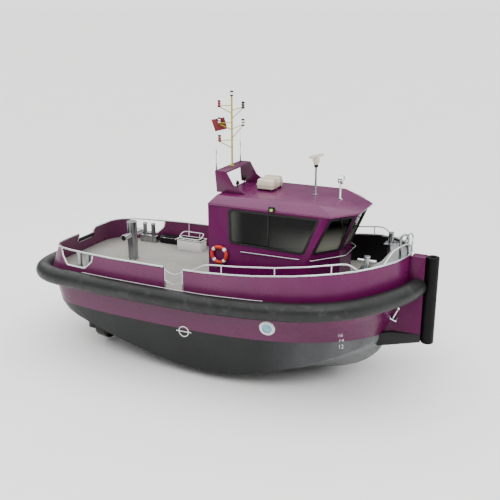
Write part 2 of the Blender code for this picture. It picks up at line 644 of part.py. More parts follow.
door_hole = rounded([(y, z) for y, z in DOOR], 0.10)
door_cut = plate("door_cutter", door_hole, 0.3, frame((HOUSE_AFT - 0.1, 0, 0), *YZ), cutter=True)
boolean(shell, [hollow, side_cut, *corner_cuts, front_cut, door_cut], "DIFFERENCE")

# aft door, hinged on its starboard edge and opening aft
door = rounded([(0.012, 1.332), (0.708, 1.332), (0.708, 3.208), (0.012, 3.208)], 0.09)
d = plate("wheelhouse_door", [(y, z - 1.32) for y, z in door], 0.04,
          frame((HOUSE_AFT, -0.36, 1.32), *YZ), "purple_paint")
port_light = rounded([(0.18, 1.15), (0.54, 1.15), (0.54, 1.68), (0.18, 1.68)], 0.06)
dc = plate("door_light_cutter", port_light, 0.2, frame((HOUSE_AFT - 0.1, -0.36, 1.32), *YZ), cutter=True)
boolean(d, [dc], "DIFFERENCE")
knuckles = [cylinder(f"door_knuckle_{z}", 0.0155, (HOUSE_AFT - 0.015, -0.355, z), (HOUSE_AFT - 0.015, -0.355, z + 0.12),
                     cutter=True, n=16) for z in (1.55, 2.85)]
knuckles += [box(f"door_leaf_{z}", (HOUSE_AFT - 0.012, -0.353, z), (HOUSE_AFT + 0.01, -0.30, z + 0.12), cutter=True)
             for z in (1.55, 2.85)]
boolean(d, knuckles, "UNION")

# floor with the helm console on it, and the seat
edge = house_ring(SILL_Z, 0.0604)
fl = plate("wheelhouse_floor", [edge[i] for i in (0, 4, 5, 6, 7, 11)], 0.04, at(0, 0, 1.53), "deck_paint")
desk = [(3.15, 1.55), (3.56, 1.55), (3.64, 2.42), (3.42, 2.52), (3.05, 2.40), (3.05, 2.25)]
con = plate("helm_console", desk, 1.4, frame((0, 0.70, 0), *XZ), cutter=True)
boss = cylinder("helm_boss", 0.02, (3.1, 0, 2.33), (2.93, 0, 2.38), cutter=True)
boolean(fl, [con, boss], "UNION")
chair = [(2.0, 2.05), (2.45, 2.05), (2.47, 2.15), (2.13, 2.17), (2.02, 2.85), (1.90, 2.85)]
st = plate("helm_seat", chair, 0.5, frame((0, 0.25, 0), *XZ), "seat_vinyl")
boolean(st, [cylinder("seat_post", 0.05, (2.25, 0, 1.5706), (2.25, 0, 2.1), cutter=True),
             cylinder("seat_foot", 0.20, (2.25, 0, 1.5706), (2.25, 0, 1.60), cutter=True)], "UNION")

# roof
def faceted(name, points, mat=None, cutter=False):
    bm = bmesh.new()
    for p in points:
        bm.verts.new(p)
    out = bmesh.ops.convex_hull(bm, input=bm.verts)
    bmesh.ops.delete(bm, geom=[v for v in out["geom_interior"] if isinstance(v, bmesh.types.BMVert)],
                     context="VERTS")
    clean(bm)
    me = bpy.data.meshes.new(name)
    bm.to_mesh(me)
    bm.free()
    return put(name, me, mat, cutter)


def roof_points(d, low):
    """Corner points of the roof, moved inward by d: eaves, edge band and the flat top."""
    out = []
    for s in (-1, 1):
        for z in (low, 3.795 - d * 0.5):
            out += [(0.14 + d, s * (1.40 - d), z), (3.93 - d * 0.5, s * (1.40 - d), z), (4.52 - d, s * (0.62 - d * 0.3), z)]
        out += [(0.33 + d, s * (1.18 - d), ROOF_Z - d * 0.9), (3.50 - d, s * (1.16 - d), ROOF_Z - d * 0.9)]
    return out


roof = faceted("wheelhouse_roof", roof_points(0.0, EAVES_Z), "purple_paint")
boolean(roof, [faceted("roof_cutter", roof_points(0.07, EAVES_Z - 0.1), cutter=True)], "DIFFERENCE")

# mast arch: two thin side plates and a top plate
RZ = ROOF_Z + GAP
ARCH_Y, ARCH_Z = 0.87, 4.66
side_line = [(0.17, RZ), (0.11, ARCH_Z), (0.47, ARCH_Z), (0.70, 4.28), (1.12, RZ)]
arch = plate("mast_arch", side_line, 2 * ARCH_Y, frame((0, ARCH_Y, 0), *XZ), "purple_paint")
hole = plate("arch_cutter", [(-ARCH_Y + 0.05, 3.8), (ARCH_Y - 0.05, 3.8), (ARCH_Y - 0.05, ARCH_Z - 0.05),
                             (-ARCH_Y + 0.05, ARCH_Z - 0.05)], 2.0, frame((-0.5, 0, 0), *YZ), cutter=True)
boolean(arch, [hole], "DIFFERENCE")

# yellow light mast with its arms and lamp bodies
AZ = ARCH_Z + GAP
# lamp x, lamp z, upper and lower strut roots on the mast
ARMS = [(-0.16, 6.50, 6.50, 6.24), (0.63, 6.50, 6.36, 6.08), (-0.16, 5.99, 5.99, 5.75),
        (0.63, 5.99, 5.80, 5.50), (-0.16, 5.46, 5.47, 5.20)]
mast = cylinder("light_mast", 0.028, (0.26, 0, AZ), (0.26, 0, 6.90), "mast_yellow", n=16)
add = [cylinder("mast_flange", 0.07, (0.26, 0, AZ), (0.26, 0, AZ + 0.03), cutter=True)]
for i, (x, z, up, low) in enumerate(ARMS):
    add.append(tube(f"arm_{i}a", [(0.26, 0, up - 0.03), (x, 0, z - 0.06)], 0.012, cutter=True, sides=1))
    add.append(tube(f"arm_{i}b", [(0.26, 0, low), (x, 0, z - 0.085)], 0.012, cutter=True, sides=1))
    add.append(cylinder(f"lamp_{i}", 0.05, (x, 0, z - 0.10), (x, 0, z + 0.10), cutter=True, n=16))
add.append(cylinder("lamp_top", 0.05, (0.26, 0, 6.74), (0.26, 0, 6.90), cutter=True, n=16))
boolean(mast, add, "UNION")

# flag, held against the aft middle lamp
plate("flag", [(-0.36, 5.66), (0.06, 5.78), (-0.05, 6.10), (-0.48, 6.00)], 0.004,
      frame((0, 0.0545, 0), *XZ), "flag_cloth")

# whip antennas
for side, s in SIDES:
    w = cylinder("whip_" + side, 0.018, (0.145, s * 0.82, AZ), (0.145, s * 0.82, 5.05), "white_fitting", n=12)
    boolean(w, [cylinder(f"whip_top_{side}", 0.009, (0.145, s * 0.82, 5.04), (0.145, s * 0.82, 5.61), cutter=True,
                         n=12)], "UNION")

# two floodlights on stems joined by a foot bar on the roof
fl_rail = box("floodlights", (0.50, -0.25, RZ), (0.56, 0.33, RZ + 0.02), "dark_fitting")
add = []
for y, z in ((-0.20, 4.14), (0.28, 4.20)):
    add.append(cylinder(f"flood_stem_{y}", 0.015, (0.53, y, RZ + 0.01), (0.53, y, z), cutter=True, n=12))
    add.append(box(f"flood_{y}", (0.48, y - 0.08, z - 0.01), (0.60, y + 0.08, z + 0.13), cutter=True))
boolean(fl_rail, add, "UNION")

# liferaft container
raft = box("liferaft", (1.14, -0.18, RZ), (1.68, 0.66, RZ + 0.33), "raft_shell")
boolean(raft, [box("raft_lip", (1.115, -0.205, RZ + 0.15), (1.705, 0.685, RZ + 0.18), cutter=True)], "UNION")

# radar on the centreline
rx, ry = 2.96, 0.0
rp = cylinder("radar_post", 0.032, (rx, ry, RZ), (rx, ry, 4.98), "white_fitting", n=16)
boolean(rp, [cylinder("radar_foot", 0.08, (rx, ry, RZ), (rx, ry, RZ + 0.02), cutter=True),
             cylinder("radar_motor", 0.075, (rx, ry, 4.90), (rx, ry, 5.03), cutter=True),
             box("radar_gearbox", (rx - 0.09, ry - 0.075, 5.02), (rx + 0.09, ry + 0.075, 5.12), cutter=True)], "UNION")
sc = box("radar_scanner", (-0.31, -0.045, 0.0), (0.31, 0.045, 0.08), "white_fitting")
for v in sc.data.vertices:
    v.co += Vector((0, 0, 0.04))
sc.location = (rx, ry, 5.127)
sc.rotation_euler = (0, 0, math.radians(75))
boolean(sc, [cylinder("radar_spindle", 0.035, (rx, ry, 5.12 + GAP), (rx, ry, 5.15), cutter=True)], "UNION")

# searchlight on the front slope of the roof
sx, sy = 3.72, 0.0
sz = ROOF_Z - (sx - 3.50) * (ROOF_Z - 3.795) / 1.02
sb = cylinder("searchlight_post", 0.024, (sx, sy, sz - 0.01), (sx, sy, 4.34), "white_fitting", n=16)
boolean(sb, [cylinder("search_foot", 0.07, (sx, sy, sz - 0.05), (sx, sy, sz + 0.03), cutter=True)], "UNION")
boolean(sb, [faceted("search_seat_cutter", roof_points(-0.0004, EAVES_Z), cutter=True)], "DIFFERENCE")
HEAD_Z = 0.20
sh = cylinder("searchlight_head", 0.125, (-0.09, 0, 0), (0.09, 0, 0), "stainless_tube", n=24)
sh.rotation_euler = (0, 0, 0)
for v in sh.data.vertices:
    v.co = Matrix.Rotation(math.radians(90), 4, "Y") @ v.co + Vector((0, 0, HEAD_Z))
sh.location = (sx, sy, 4.34 + GAP)
boolean(sh, [cylinder("search_yoke", 0.022, (sx, sy, 4.34 + GAP), (sx, sy, 4.44), cutter=True, n=16)], "UNION")

# sidelights on the roof edge
for side, s in SIDES:
    y0, y1 = sorted((s * 1.4003, s * 1.50))
    box("sidelight_" + side, (2.08, y0, 3.75), (2.28, y1, 3.90), "dark_fitting")

# life ring on the starboard wall
R, r = 0.235, 0.055
rings = []
for i in range(28):
    a = 2 * math.pi * i / 28
    rings.append([((R + r * math.cos(b)) * math.cos(a), (R + r * math.cos(b)) * math.sin(a), r * math.sin(b))
                  for b in [2 * math.pi * j / 12 for j in range(12)]])
ring = loft("life_ring", rings, "ring_orange", closed=True)
shade(ring)
ring.matrix_world = at(0.50, -HOUSE_Y - r - GAP, 2.27, rx=90)

# anchor stowed beside the knee
an = plate("anchor", [(5.50, 0.62), (5.56, 0.60), (5.66, 0.98), (5.60, 1.00)], 0.05,
           frame((0, -KNEE_Y - GAP, 0), *XZ), "stainless_tube")
boolean(an, [plate("anchor_fluke", [(5.44, 0.60), (5.62, 0.55), (5.66, 0.66), (5.46, 0.70)], 0.12,
                   frame((0, -KNEE_Y - GAP, 0), *XZ), cutter=True), hull_cutter], "UNION")
an.modifiers[-1].operation = "DIFFERENCE"

# propellers, nozzles, shafts and rudders
for side, s in SIDES:
    y = s * PROP_Y
    prof = [(0.365, -0.20), (0.355, 0.0), (0.375, 0.17), (0.41, 0.21), (0.44, 0.17), (0.43, 0.0),
            (0.40, -0.20)]
    nz = lathe("nozzle_" + side, prof + [prof[0]], at(PROP_X, y, PROP_Z, ry=90), steps=36, mat="underbody_paint")
    head = box(f"nozzle_head_{side}", (PROP_X - 0.12, y - 0.035, PROP_Z + 0.41), (PROP_X + 0.16, y + 0.035, -0.1),
               cutter=True)
    boolean(head, [hull_cutter], "DIFFERENCE")
    boolean(nz, [head], "UNION")
    sh = cylinder("shaft_tube_" + side, 0.055, (PROP_X + 0.125, y, PROP_Z), (-1.2, y, PROP_Z), "underbody_paint",
                  n=20)
    boolean(sh, [hull_cutter], "DIFFERENCE")
    hub = cylinder("propeller_" + side, 0.07, (-0.11, 0, 0), (0.12, 0, 0), "bronze", n=20)
    for v in hub.data.vertices:
        v.co = Matrix.Rotation(math.radians(90), 4, "Y") @ v.co
    hub.rotation_euler = (0, 0, 0)
    hub.location = (PROP_X, y, PROP_Z)
    blades = []
    for i in range(4):
        rings = []
        for t in range(6):
            rad = 0.05 + (PROP_R - 0.05) * t / 5
            chord = [0.10, 0.17, 0.23, 0.26, 0.22, 0.08][t]
            ang = math.radians([62, 50, 40, 33, 28, 25][t]) * s
            th = [0.022, 0.018, 0.014, 0.010, 0.008, 0.005][t]
            pts = []
            for q in range(8):
                w = 2 * math.pi * q / 8
                cx, cy = chord / 2 * math.cos(w), th / 2 * math.sin(w)
                pts.append((cx * math.sin(ang) + cy * math.cos(ang), cx * math.cos(ang) - cy * math.sin(ang), rad))
            rings.append(pts)
        b = loft(f"blade_{side}_{i}", rings, cutter=True)
        b.matrix_world = (Matrix.Translation((PROP_X, y, PROP_Z))
                          @ Matrix.Rotation(math.pi / 2 * i, 4, "X"))
        blades.append(b)
    spigot = cylinder(f"shaft_{side}", 0.04, (PROP_X, y, PROP_Z), (PROP_X + 0.125 - GAP, y, PROP_Z), cutter=True)
    boolean(hub, [*blades, spigot], "UNION")
    foil = [(0.08, 0.0), (0.05, 0.03), (-0.02, 0.042), (-0.12, 0.03), (-0.24, 0.006), (-0.24, -0.006),
            (-0.12, -0.03), (-0.02, -0.042), (0.05, -0.03)]
    ru = plate("rudder_" + side, foil, 0.66, at(RUDDER_X, y, -1.18), "underbody_paint")
    boolean(ru, [cylinder(f"rudder_stock_{side}", 0.035, (RUDDER_X, y, -0.7), (RUDDER_X, y, -0.33 - GAP),
                          cutter=True, n=20)], "UNION")
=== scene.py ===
"""Harbour tugboat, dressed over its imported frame: +X bow, +Y port, +Z up, z = 0 at the waterline."""
import math

import bmesh
import bpy
from mathutils import Matrix, Vector
from mathutils.bvhtree import BVHTree


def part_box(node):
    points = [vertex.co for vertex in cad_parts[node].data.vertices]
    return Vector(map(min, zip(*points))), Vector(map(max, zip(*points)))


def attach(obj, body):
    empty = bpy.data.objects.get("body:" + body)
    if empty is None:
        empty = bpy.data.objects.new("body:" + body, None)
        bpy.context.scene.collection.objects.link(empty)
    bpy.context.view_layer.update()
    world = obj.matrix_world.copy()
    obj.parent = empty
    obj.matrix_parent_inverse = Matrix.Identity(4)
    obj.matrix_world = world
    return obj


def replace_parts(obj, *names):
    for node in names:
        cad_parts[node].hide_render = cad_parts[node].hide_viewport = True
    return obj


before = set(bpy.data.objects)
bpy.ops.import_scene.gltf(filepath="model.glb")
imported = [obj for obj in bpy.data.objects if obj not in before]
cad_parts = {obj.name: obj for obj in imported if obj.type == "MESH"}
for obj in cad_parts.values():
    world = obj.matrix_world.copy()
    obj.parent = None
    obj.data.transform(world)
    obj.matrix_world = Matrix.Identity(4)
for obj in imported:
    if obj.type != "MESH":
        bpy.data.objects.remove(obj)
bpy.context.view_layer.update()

# camera and studio
# The boat is seen from its starboard bow through a long lens, a little above the roof.
# It stands on a pale matt floor just under its keel, in soft light from large white panels.
AZIMUTH, ELEVATION = math.radians(24.783), math.radians(17.651)
TARGET = Vector((0.856, 0.0, 2.049))
FLOOR_Z = -1.485

away = Vector((math.sin(AZIMUTH) * math.cos(ELEVATION), -math.cos(AZIMUTH) * math.cos(ELEVATION),
               math.sin(ELEVATION)))
camera = bpy.data.objects.new("camera", bpy.data.cameras.new("camera"))
camera.location = TARGET + away * 23.67
camera.rotation_euler = away.to_track_quat("Z", "Y").to_euler()
camera.data.lens = 54.79
camera.data.clip_end = 8000.0
bpy.context.scene.collection.objects.link(camera)
bpy.context.scene.camera = camera


def srgb(code):
    """Linear colour from an sRGB hex value."""
    parts = [int(code[i:i + 2], 16) / 255.0 for i in (0, 2, 4)]
    return [c / 12.92 if c <= 0.04045 else ((c + 0.055) / 1.055) ** 2.4 for c in parts] + [1.0]


def add(mat, kind, inputs=None, **settings):
    """Add one shader node with its settings, values and links."""
    n = mat.node_tree.nodes.new("ShaderNode" + kind)
    for key, value in settings.items():
        setattr(n, key, value)
    for key, value in (inputs or {}).items():
        if isinstance(value, bpy.types.NodeSocket):
            mat.node_tree.links.new(value, n.inputs[key])
        else:
            n.inputs[key].default_value = value
    return n


def start(name, **sockets):
    """New material with constant values set on its shader's own sockets."""
    mat = bpy.data.materials.new(name)
    mat.use_nodes = True
    shader = mat.node_tree.nodes["Principled BSDF"]
    for key, value in sockets.items():
        shader.inputs[key.replace("_", " ")].default_value = value
    return mat, shader


def join(mat, out, socket):
    mat.node_tree.links.new(out, socket)


# a soft ceiling of light overhead that falls away towards dark walls
world = bpy.data.worlds.new("studio")
world.use_nodes = True
sky = world.node_tree.nodes
ways = sky.new("ShaderNodeTexCoord")
split = sky.new("ShaderNodeSeparateXYZ")
ceiling = sky.new("ShaderNodeMapRange")
ceiling.interpolation_type = "SMOOTHSTEP"
for socket, value in (("From Min", 0.30), ("From Max", 0.80), ("To Min", 0.28), ("To Max", 2.8)):
    ceiling.inputs[socket].default_value = value
sky["Background"].inputs["Color"].default_value = srgb("FFFFFF")
world.node_tree.links.new(ways.outputs["Generated"], split.inputs["Vector"])
world.node_tree.links.new(split.outputs["Z"], ceiling.inputs["Value"])
world.node_tree.links.new(ceiling.outputs["Result"], sky["Background"].inputs["Strength"])
backdrop = sky.new("ShaderNodeBackground")
backdrop.inputs["Color"].default_value = srgb("FFFFFF")
backdrop.inputs["Strength"].default_value = 1.88
rays, choose = sky.new("ShaderNodeLightPath"), sky.new("ShaderNodeMixShader")
for a, b in ((rays.outputs["Is Camera Ray"], choose.inputs[0]), (sky["Background"].outputs[0], choose.inputs[1]),
             (backdrop.outputs[0], choose.inputs[2]), (choose.outputs[0], sky["World Output"].inputs["Surface"])):
    world.node_tree.links.new(a, b)
bpy.context.scene.world = world

# panels: name, place, aim, width, height, power
PANELS = [
    ("key_panel", (4.0, -17.0, 17.0), (0.0, 0.0, 1.0), 14.0, 9.0, 1500.0),
    ("bow_panel", (19.0, -5.0, 7.0), (3.0, 0.0, 1.0), 9.0, 8.0, 420.0),
    ("stern_panel", (-15.0, 9.0, 10.0), (0.0, 0.0, 2.0), 10.0, 8.0, 380.0),
]
for name, spot, aim, width, height, power in PANELS:
    lamp = bpy.data.objects.new(name, bpy.data.lights.new(name, "AREA"))
    lamp.data.shape = "RECTANGLE"
    lamp.data.size, lamp.data.size_y, lamp.data.energy = width, height, power
    lamp.location = spot
    lamp.rotation_euler = (Vector(spot) - Vector(aim)).to_track_quat("Z", "Y").to_euler()
    bpy.context.scene.collection.objects.link(lamp)

bm = bmesh.new()
bmesh.ops.create_circle(bm, cap_ends=True, segments=64, radius=3000.0)
bmesh.ops.translate(bm, vec=(0, 0, FLOOR_Z), verts=bm.verts)
floor_mesh = bpy.data.meshes.new("studio_floor")
bm.to_mesh(floor_mesh)
bm.free()
studio_floor = bpy.data.objects.new("studio_floor", floor_mesh)
bpy.context.scene.collection.objects.link(studio_floor)
# rolled matt emulsion: almost white, with a faint unevenness
floor_paint, shader = start("matt_emulsion_white", Roughness=0.9, Specular_IOR_Level=0.2)
where = add(floor_paint, "TexCoord")
drift = add(floor_paint, "TexNoise", {"Vector": where.outputs["Object"], "Scale": 0.3, "Detail": 3.0})
tone = add(floor_paint, "ValToRGB", {"Fac": drift.outputs["Fac"]})
tone.color_ramp.elements[0].color, tone.color_ramp.elements[1].color = srgb("F6F6F5"), srgb("FBFBFA")
join(floor_paint, tone.outputs["Color"], shader.inputs["Base Color"])
floor_mesh.materials.append(floor_paint)

# hull bottom, skeg and underwater fittings
# Welded steel plating below the boot line, rolled with black antifouling over epoxy.
# The skeg, stern tubes, ring nozzles and rudders are welded or hung on it and painted with it.
UNDERWATER = ["skeg", "shaft_tube_port", "shaft_tube_starboard"]


def speckle(mat, scale, low, high, detail=4.0, stretch=None, kind="TexNoise", clamp=True):
    """Noise on Object coordinates, spread between two levels: the unevenness of a finish."""
    at = add(mat, "TexCoord").outputs["Object"]
    if stretch:
        at = add(mat, "Mapping", {"Vector": at, "Scale": stretch}).outputs["Vector"]
    cloud = add(mat, kind, {"Vector": at, "Scale": scale, "Detail": detail})
    return add(mat, "MapRange", {"Value": cloud.outputs["Fac"], "From Min": 0.3, "From Max": 0.7,
                                 "To Min": low, "To Max": high}, clamp=clamp).outputs["Result"]


def blend(mat, fac, a, b):
    """Two colours, or a colour over a colour output, mixed by a pattern."""
    m = add(mat, "Mix", data_type="RGBA")
    join(mat, fac, m.inputs[0])
    for value, socket in ((a, m.inputs[6]), (b, m.inputs[7])):
        if isinstance(value, str):
            socket.default_value = srgb(value)
        else:
            join(mat, value, socket)
    return m.outputs[2]


def relief(mat, shader, height, strength, distance, after=None):
    """Raise the surface by a pattern."""
    n = add(mat, "Bump", {"Height": height, "Strength": strength, "Distance": distance})
    if after is not None:
        join(mat, after, n.inputs["Normal"])
    join(mat, n.outputs["Normal"], shader.inputs["Normal"])
    return n.outputs["Normal"]


def finish(name, bm, mats, body="boat", angle=35.0, recalc=False):
    """Turn a bmesh into a finished piece: smooth faces, sharp edges, its materials and its body."""
    if recalc:
        bmesh.ops.remove_doubles(bm, verts=bm.verts, dist=1e-5)
        bmesh.ops.recalc_face_normals(bm, faces=bm.faces)
    for f in bm.faces:
        f.smooth = True
    me = bpy.data.meshes.new(name)
    bm.to_mesh(me)
    bm.free()
    me.set_sharp_from_angle(angle=math.radians(angle))
    for mat in mats if isinstance(mats, (list, tuple)) else [mats]:
        me.materials.append(mat)
    ob = bpy.data.objects.new(name, me)
    bpy.context.scene.collection.objects.link(ob)
    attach(ob, body)
    return ob


def skin(node):
    """Bmesh copy of a solid of the frame, with its doubles merged and its flat faces joined up."""
    bm = bmesh.new()
    bm.from_mesh(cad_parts[node].data)
    bmesh.ops.remove_doubles(bm, verts=bm.verts, dist=2e-5)
    bmesh.ops.dissolve_limit(bm, angle_limit=math.radians(0.6), verts=bm.verts, edges=bm.edges)
    return bm


def sharp_edges(bm, degrees):
    return [e for e in bm.edges if len(e.link_faces) == 2 and e.calc_face_angle() > math.radians(degrees)]


def soften(bm, width, degrees=40.0, segments=2):
    """Round the hard edges of a plate or casting."""
    bmesh.ops.bevel(bm, geom=sharp_edges(bm, degrees), offset=width, offset_type="OFFSET", affect="EDGES",
                    segments=segments, profile=0.5, material=-1, clamp_overlap=True)


def ramp_along(mat, axis, low, high):
    """0 to 1 along one axis of the boat, between two places."""
    at = add(mat, "SeparateXYZ", {"Vector": add(mat, "TexCoord").outputs["Object"]})
    return add(mat, "MapRange", {"Value": at.outputs[axis], "From Min": low, "From Max": high},
               interpolation_type="SMOOTHSTEP").outputs["Result"]


# antifouling over epoxy: black, low sheen; towards the forefoot a paler grey is blended in, a painted reflection of the
# bright floor
antifouling, shader = start("epoxy_antifouling_black", IOR=1.5, Specular_IOR_Level=0.24, Coat_Weight=0.08,
                            Coat_Roughness=0.12)
cloudy = speckle(antifouling, 0.9, 0.0, 1.0)
fresh = blend(antifouling, cloudy, "111213", "18191A")
painted_floor_reflection = blend(antifouling, speckle(antifouling, 1.6, 0.2, 1.0, detail=6.0), "505254", "6C6E70")
join(antifouling, blend(antifouling, ramp_along(antifouling, "X", 2.0, 5.6), fresh, painted_floor_reflection),
     shader.inputs["Base Color"])
join(antifouling, speckle(antifouling, 3.0, 0.24, 0.38), shader.inputs["Roughness"])
# roller stipple is about 1 mm; it is drawn at 20 mm so that it shows
relief(antifouling, shader, speckle(antifouling, 45.0, 0.0, 1.0, clamp=False), 0.10, 0.003)

bottom = skin("hull_bottom")
hull_trees = [BVHTree.FromBMesh(bottom)]
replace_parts(finish("hull_bottom_plating", bottom, antifouling, angle=28.0), "hull_bottom")
for name in UNDERWATER:
    piece = skin(name)
    if name == "skeg":
        soften(piece, 0.012)
    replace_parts(finish(name + "_painted", piece, antifouling), name)

# topsides
# Steel side plating from the boot line to the deck, in two-pack purple enamel sprayed over filler.
# A glazed light on each side, the load line ring and the draught figures are fixed on it.


def enamel(name, deep, pale, rough=0.24, gloss=0.5, coat=0.0):
    """Sprayed two-pack enamel: even colour with slow drift, a wet sheen and soft orange peel."""
    mat, shader = start(name, IOR=1.5, Specular_IOR_Level=gloss, Coat_Weight=coat, Coat_Roughness=0.08)
    cloudy = speckle(mat, 0.55, 0.0, 1.0, detail=3.0)
    join(mat, blend(mat, cloudy, deep, pale), shader.inputs["Base Color"])
    join(mat, speckle(mat, 2.2, rough - 0.06, rough + 0.08), shader.inputs["Roughness"])
    # orange peel is about 2 mm; it is drawn at 40 mm, and the plates' own waviness at 0.5 m
    peel = relief(mat, shader, speckle(mat, 24.0, 0.0, 1.0, detail=1.0, clamp=False), 0.05, 0.001)
    relief(mat, shader, speckle(mat, 1.2, 0.0, 1.0, detail=0.0, clamp=False), 0.06, 0.006, peel)
    return mat


purple = enamel("two_pack_enamel_purple", "500340", "5C0548", gloss=0.14)
salted = enamel("two_pack_enamel_purple_chalked", "4C0839", "560E41", 0.28, gloss=0.42)
sides = skin("hull_topsides")
hull_trees.append(BVHTree.FromBMesh(sides))
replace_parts(finish("topside_plating", sides, salted, angle=24.0), "hull_topsides")


def seat(origin, direction, lift=0.0, roll=0.0):
    """Placement on the hull's plating: Z along the outward normal, X along the boat."""
    hits = [tree.ray_cast(Vector(origin), Vector(direction).normalized()) for tree in hull_trees]
    spot, normal, index, far = min((hit for hit in hits if hit[0]), key=lambda hit: hit[3])
    if normal.dot(Vector(direction)) > 0:
        normal = -normal
    x = Vector((0, 0, 1)).cross(normal).normalized()
    y = normal.cross(x)
    m = Matrix((x, y, normal)).transposed().to_4x4()
    m.translation = spot + normal * lift
    return m @ Matrix.Rotation(math.radians(roll), 4, "Z")


def disc(bm, m, r, low, high, segments=40, r2=None):
    """Round plate or drum from low to high along a placement's Z."""
    made = bmesh.ops.create_cone(bm, cap_ends=True, segments=segments, radius1=r, radius2=r if r2 is None else r2,
                                 depth=high - low, matrix=m @ Matrix.Translation((0, 0, (low + high) / 2)))
    return made["verts"]


def turned(bm, profile, m, steps=40):
    """Spin a profile of (radius, height) round a placement's Z; points on the axis close it."""
    before = set(bm.verts)
    line = [bm.verts.new((r, 0.0, z)) for r, z in profile]
    edges = [bm.edges.new(pair) for pair in zip(line, line[1:])]
    bmesh.ops.spin(bm, geom=line + edges, cent=(0, 0, 0), axis=(0, 0, 1), dvec=(0, 0, 0), angle=2 * math.pi,
                   steps=steps, use_merge=True)
    bmesh.ops.remove_doubles(bm, verts=[v for v in bm.verts if v not in before], dist=1e-6)
    verts = [v for v in bm.verts if v not in before]
    bmesh.ops.transform(bm, matrix=m, verts=verts)
    return verts


# 316 stainless, mechanically polished: bright, with a fine brushed grain
stainless, shader = start("stainless_316_polished", Base_Color=srgb("D3D6D8"), Metallic=1.0)
join(stainless, speckle(stainless, 30.0, 0.12, 0.26, stretch=(1.0, 1.0, 6.0)), shader.inputs["Roughness"])
relief(stainless, shader, speckle(stainless, 160.0, 0.0, 1.0, detail=2.0, clamp=False), 0.06, 0.001)
# white enamel figures: flat, slightly chalked
figure_white, shader = start("alkyd_enamel_white", IOR=1.5)
join(figure_white, blend(figure_white, speckle(figure_white, 12.0, 0.0, 1.0), "E9EAEA", "D8DAD9"),
     shader.inputs["Base Color"])
join(figure_white, speckle(figure_white, 20.0, 0.35, 0.5), shader.inputs["Roughness"])
# powder-coated steel: white, even, with a faint texture
coated_white, shader = start("polyester_powder_coat_white", IOR=1.5, Coat_Weight=0.2)
join(coated_white, blend(coated_white, speckle(coated_white, 6.0, 0.0, 1.0), "EDEEEE", "DCDDDC"),
     shader.inputs["Base Color"])
join(coated_white, speckle(coated_white, 14.0, 0.28, 0.42), shader.inputs["Roughness"])
relief(coated_white, shader, speckle(coated_white, 90.0, 0.0, 1.0, clamp=False), 0.05, 0.001)
# toughened glass with a blue liner behind it
liner_blue, shader = start("toughened_glass_blue", IOR=1.52, Coat_Weight=1.0, Coat_Roughness=0.02)
join(liner_blue, blend(liner_blue, speckle(liner_blue, 9.0, 0.0, 1.0), "4E93AE", "76B4C8"),
     shader.inputs["Base Color"])
join(liner_blue, speckle(liner_blue, 9.0, 0.06, 0.14), shader.inputs["Roughness"])

for side, s in (("starboard", -1), ("port", 1)):
    m = seat((2.375, s * 5, 0.53), (0, -s, 0))
    rim = bmesh.new()
    turned(rim, [(0.150, 0.002), (0.150, 0.022), (0.162, 0.034), (0.212, 0.032), (0.230, 0.018), (0.236, 0.001),
                 (0.150, 0.002)], m, 56)
    finish("side_light_rim_" + side, rim, coated_white, recalc=True)
    studs = bmesh.new()
    for i in range(8):
        bolt = m @ Matrix.Rotation(math.pi / 4 * (i + 0.5), 4, "Z") @ Matrix.Translation((0.190, 0, 0))
        disc(studs, bolt, 0.014, 0.030, 0.046, 6)
    finish("side_light_studs_" + side, studs, stainless, recalc=True)
    pane = bmesh.new()
    turned(pane, [(0.0, 0.016), (0.09, 0.015), (0.151, 0.010), (0.151, 0.002), (0.0, 0.002)], m, 56)
    finish("side_light_glass_" + side, pane, liner_blue, recalc=True)
    m = seat((-0.25, s * 5, 0.02), (0, -s, 0), lift=0.010)
    mark = bmesh.new()
    turned(mark, [(0.146, -0.012), (0.146, 0.003), (0.172, 0.003), (0.172, -0.012), (0.146, -0.012)], m, 48)
    line = bmesh.ops.create_cube(mark, size=1.0)["verts"]
    bmesh.ops.scale(mark, vec=(0.50, 0.026, 0.014), verts=line)
    bmesh.ops.transform(mark, matrix=m @ Matrix.Translation((0, 0, -0.005)), verts=line)
    finish("load_line_" + side, mark, figure_white, recalc=True)
    for i, (z, words) in enumerate(((0.34, "16"), (0.14, "14"), (-0.06, "12"))):
        m = seat((4.30, s * 5, z), (0, -s, 0), lift=0.003)
        text = bpy.data.curves.new("figure", "FONT")
        text.body, text.size, text.extrude, text.align_x, text.align_y = words, 0.17, 0.0015, "CENTER", "CENTER"
        holder = bpy.data.objects.new("figure", text)
        bpy.context.scene.collection.objects.link(holder)
        flat = bpy.data.meshes.new_from_object(holder.evaluated_get(bpy.context.evaluated_depsgraph_get()))
        bpy.data.objects.remove(holder)
        digits = bmesh.new()
        digits.from_mesh(flat)
        bmesh.ops.transform(digits, matrix=m, verts=digits.verts)
        finish(f"draught_mark_{side}_{i}", digits, figure_white, recalc=True)

# deck
# Steel deck plating with the fall of the sheer, in grey non-slip paint with silica grit.
# The paint drifts at random between two greys, flecked with darker grit.
nonslip, shader = start("nonslip_deck_paint_grey", IOR=1.45)
paler_tone = blend(nonslip, speckle(nonslip, 0.8, 0.0, 1.0), "86847E", "97958F")
join(nonslip, blend(nonslip, speckle(nonslip, 130.0, 0.0, 0.45, detail=2.0), paler_tone, "6F6D68"),
     shader.inputs["Base Color"])
join(nonslip, speckle(nonslip, 4.0, 0.62, 0.8), shader.inputs["Roughness"])
# grit is about 0.7 mm; it is drawn at 8 mm so that it shows
relief(nonslip, shader, speckle(nonslip, 120.0, 0.0, 1.0, detail=2.0, clamp=False), 0.35, 0.003)
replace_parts(finish("deck_plating", skin("deck"), nonslip, angle=20.0), "deck")
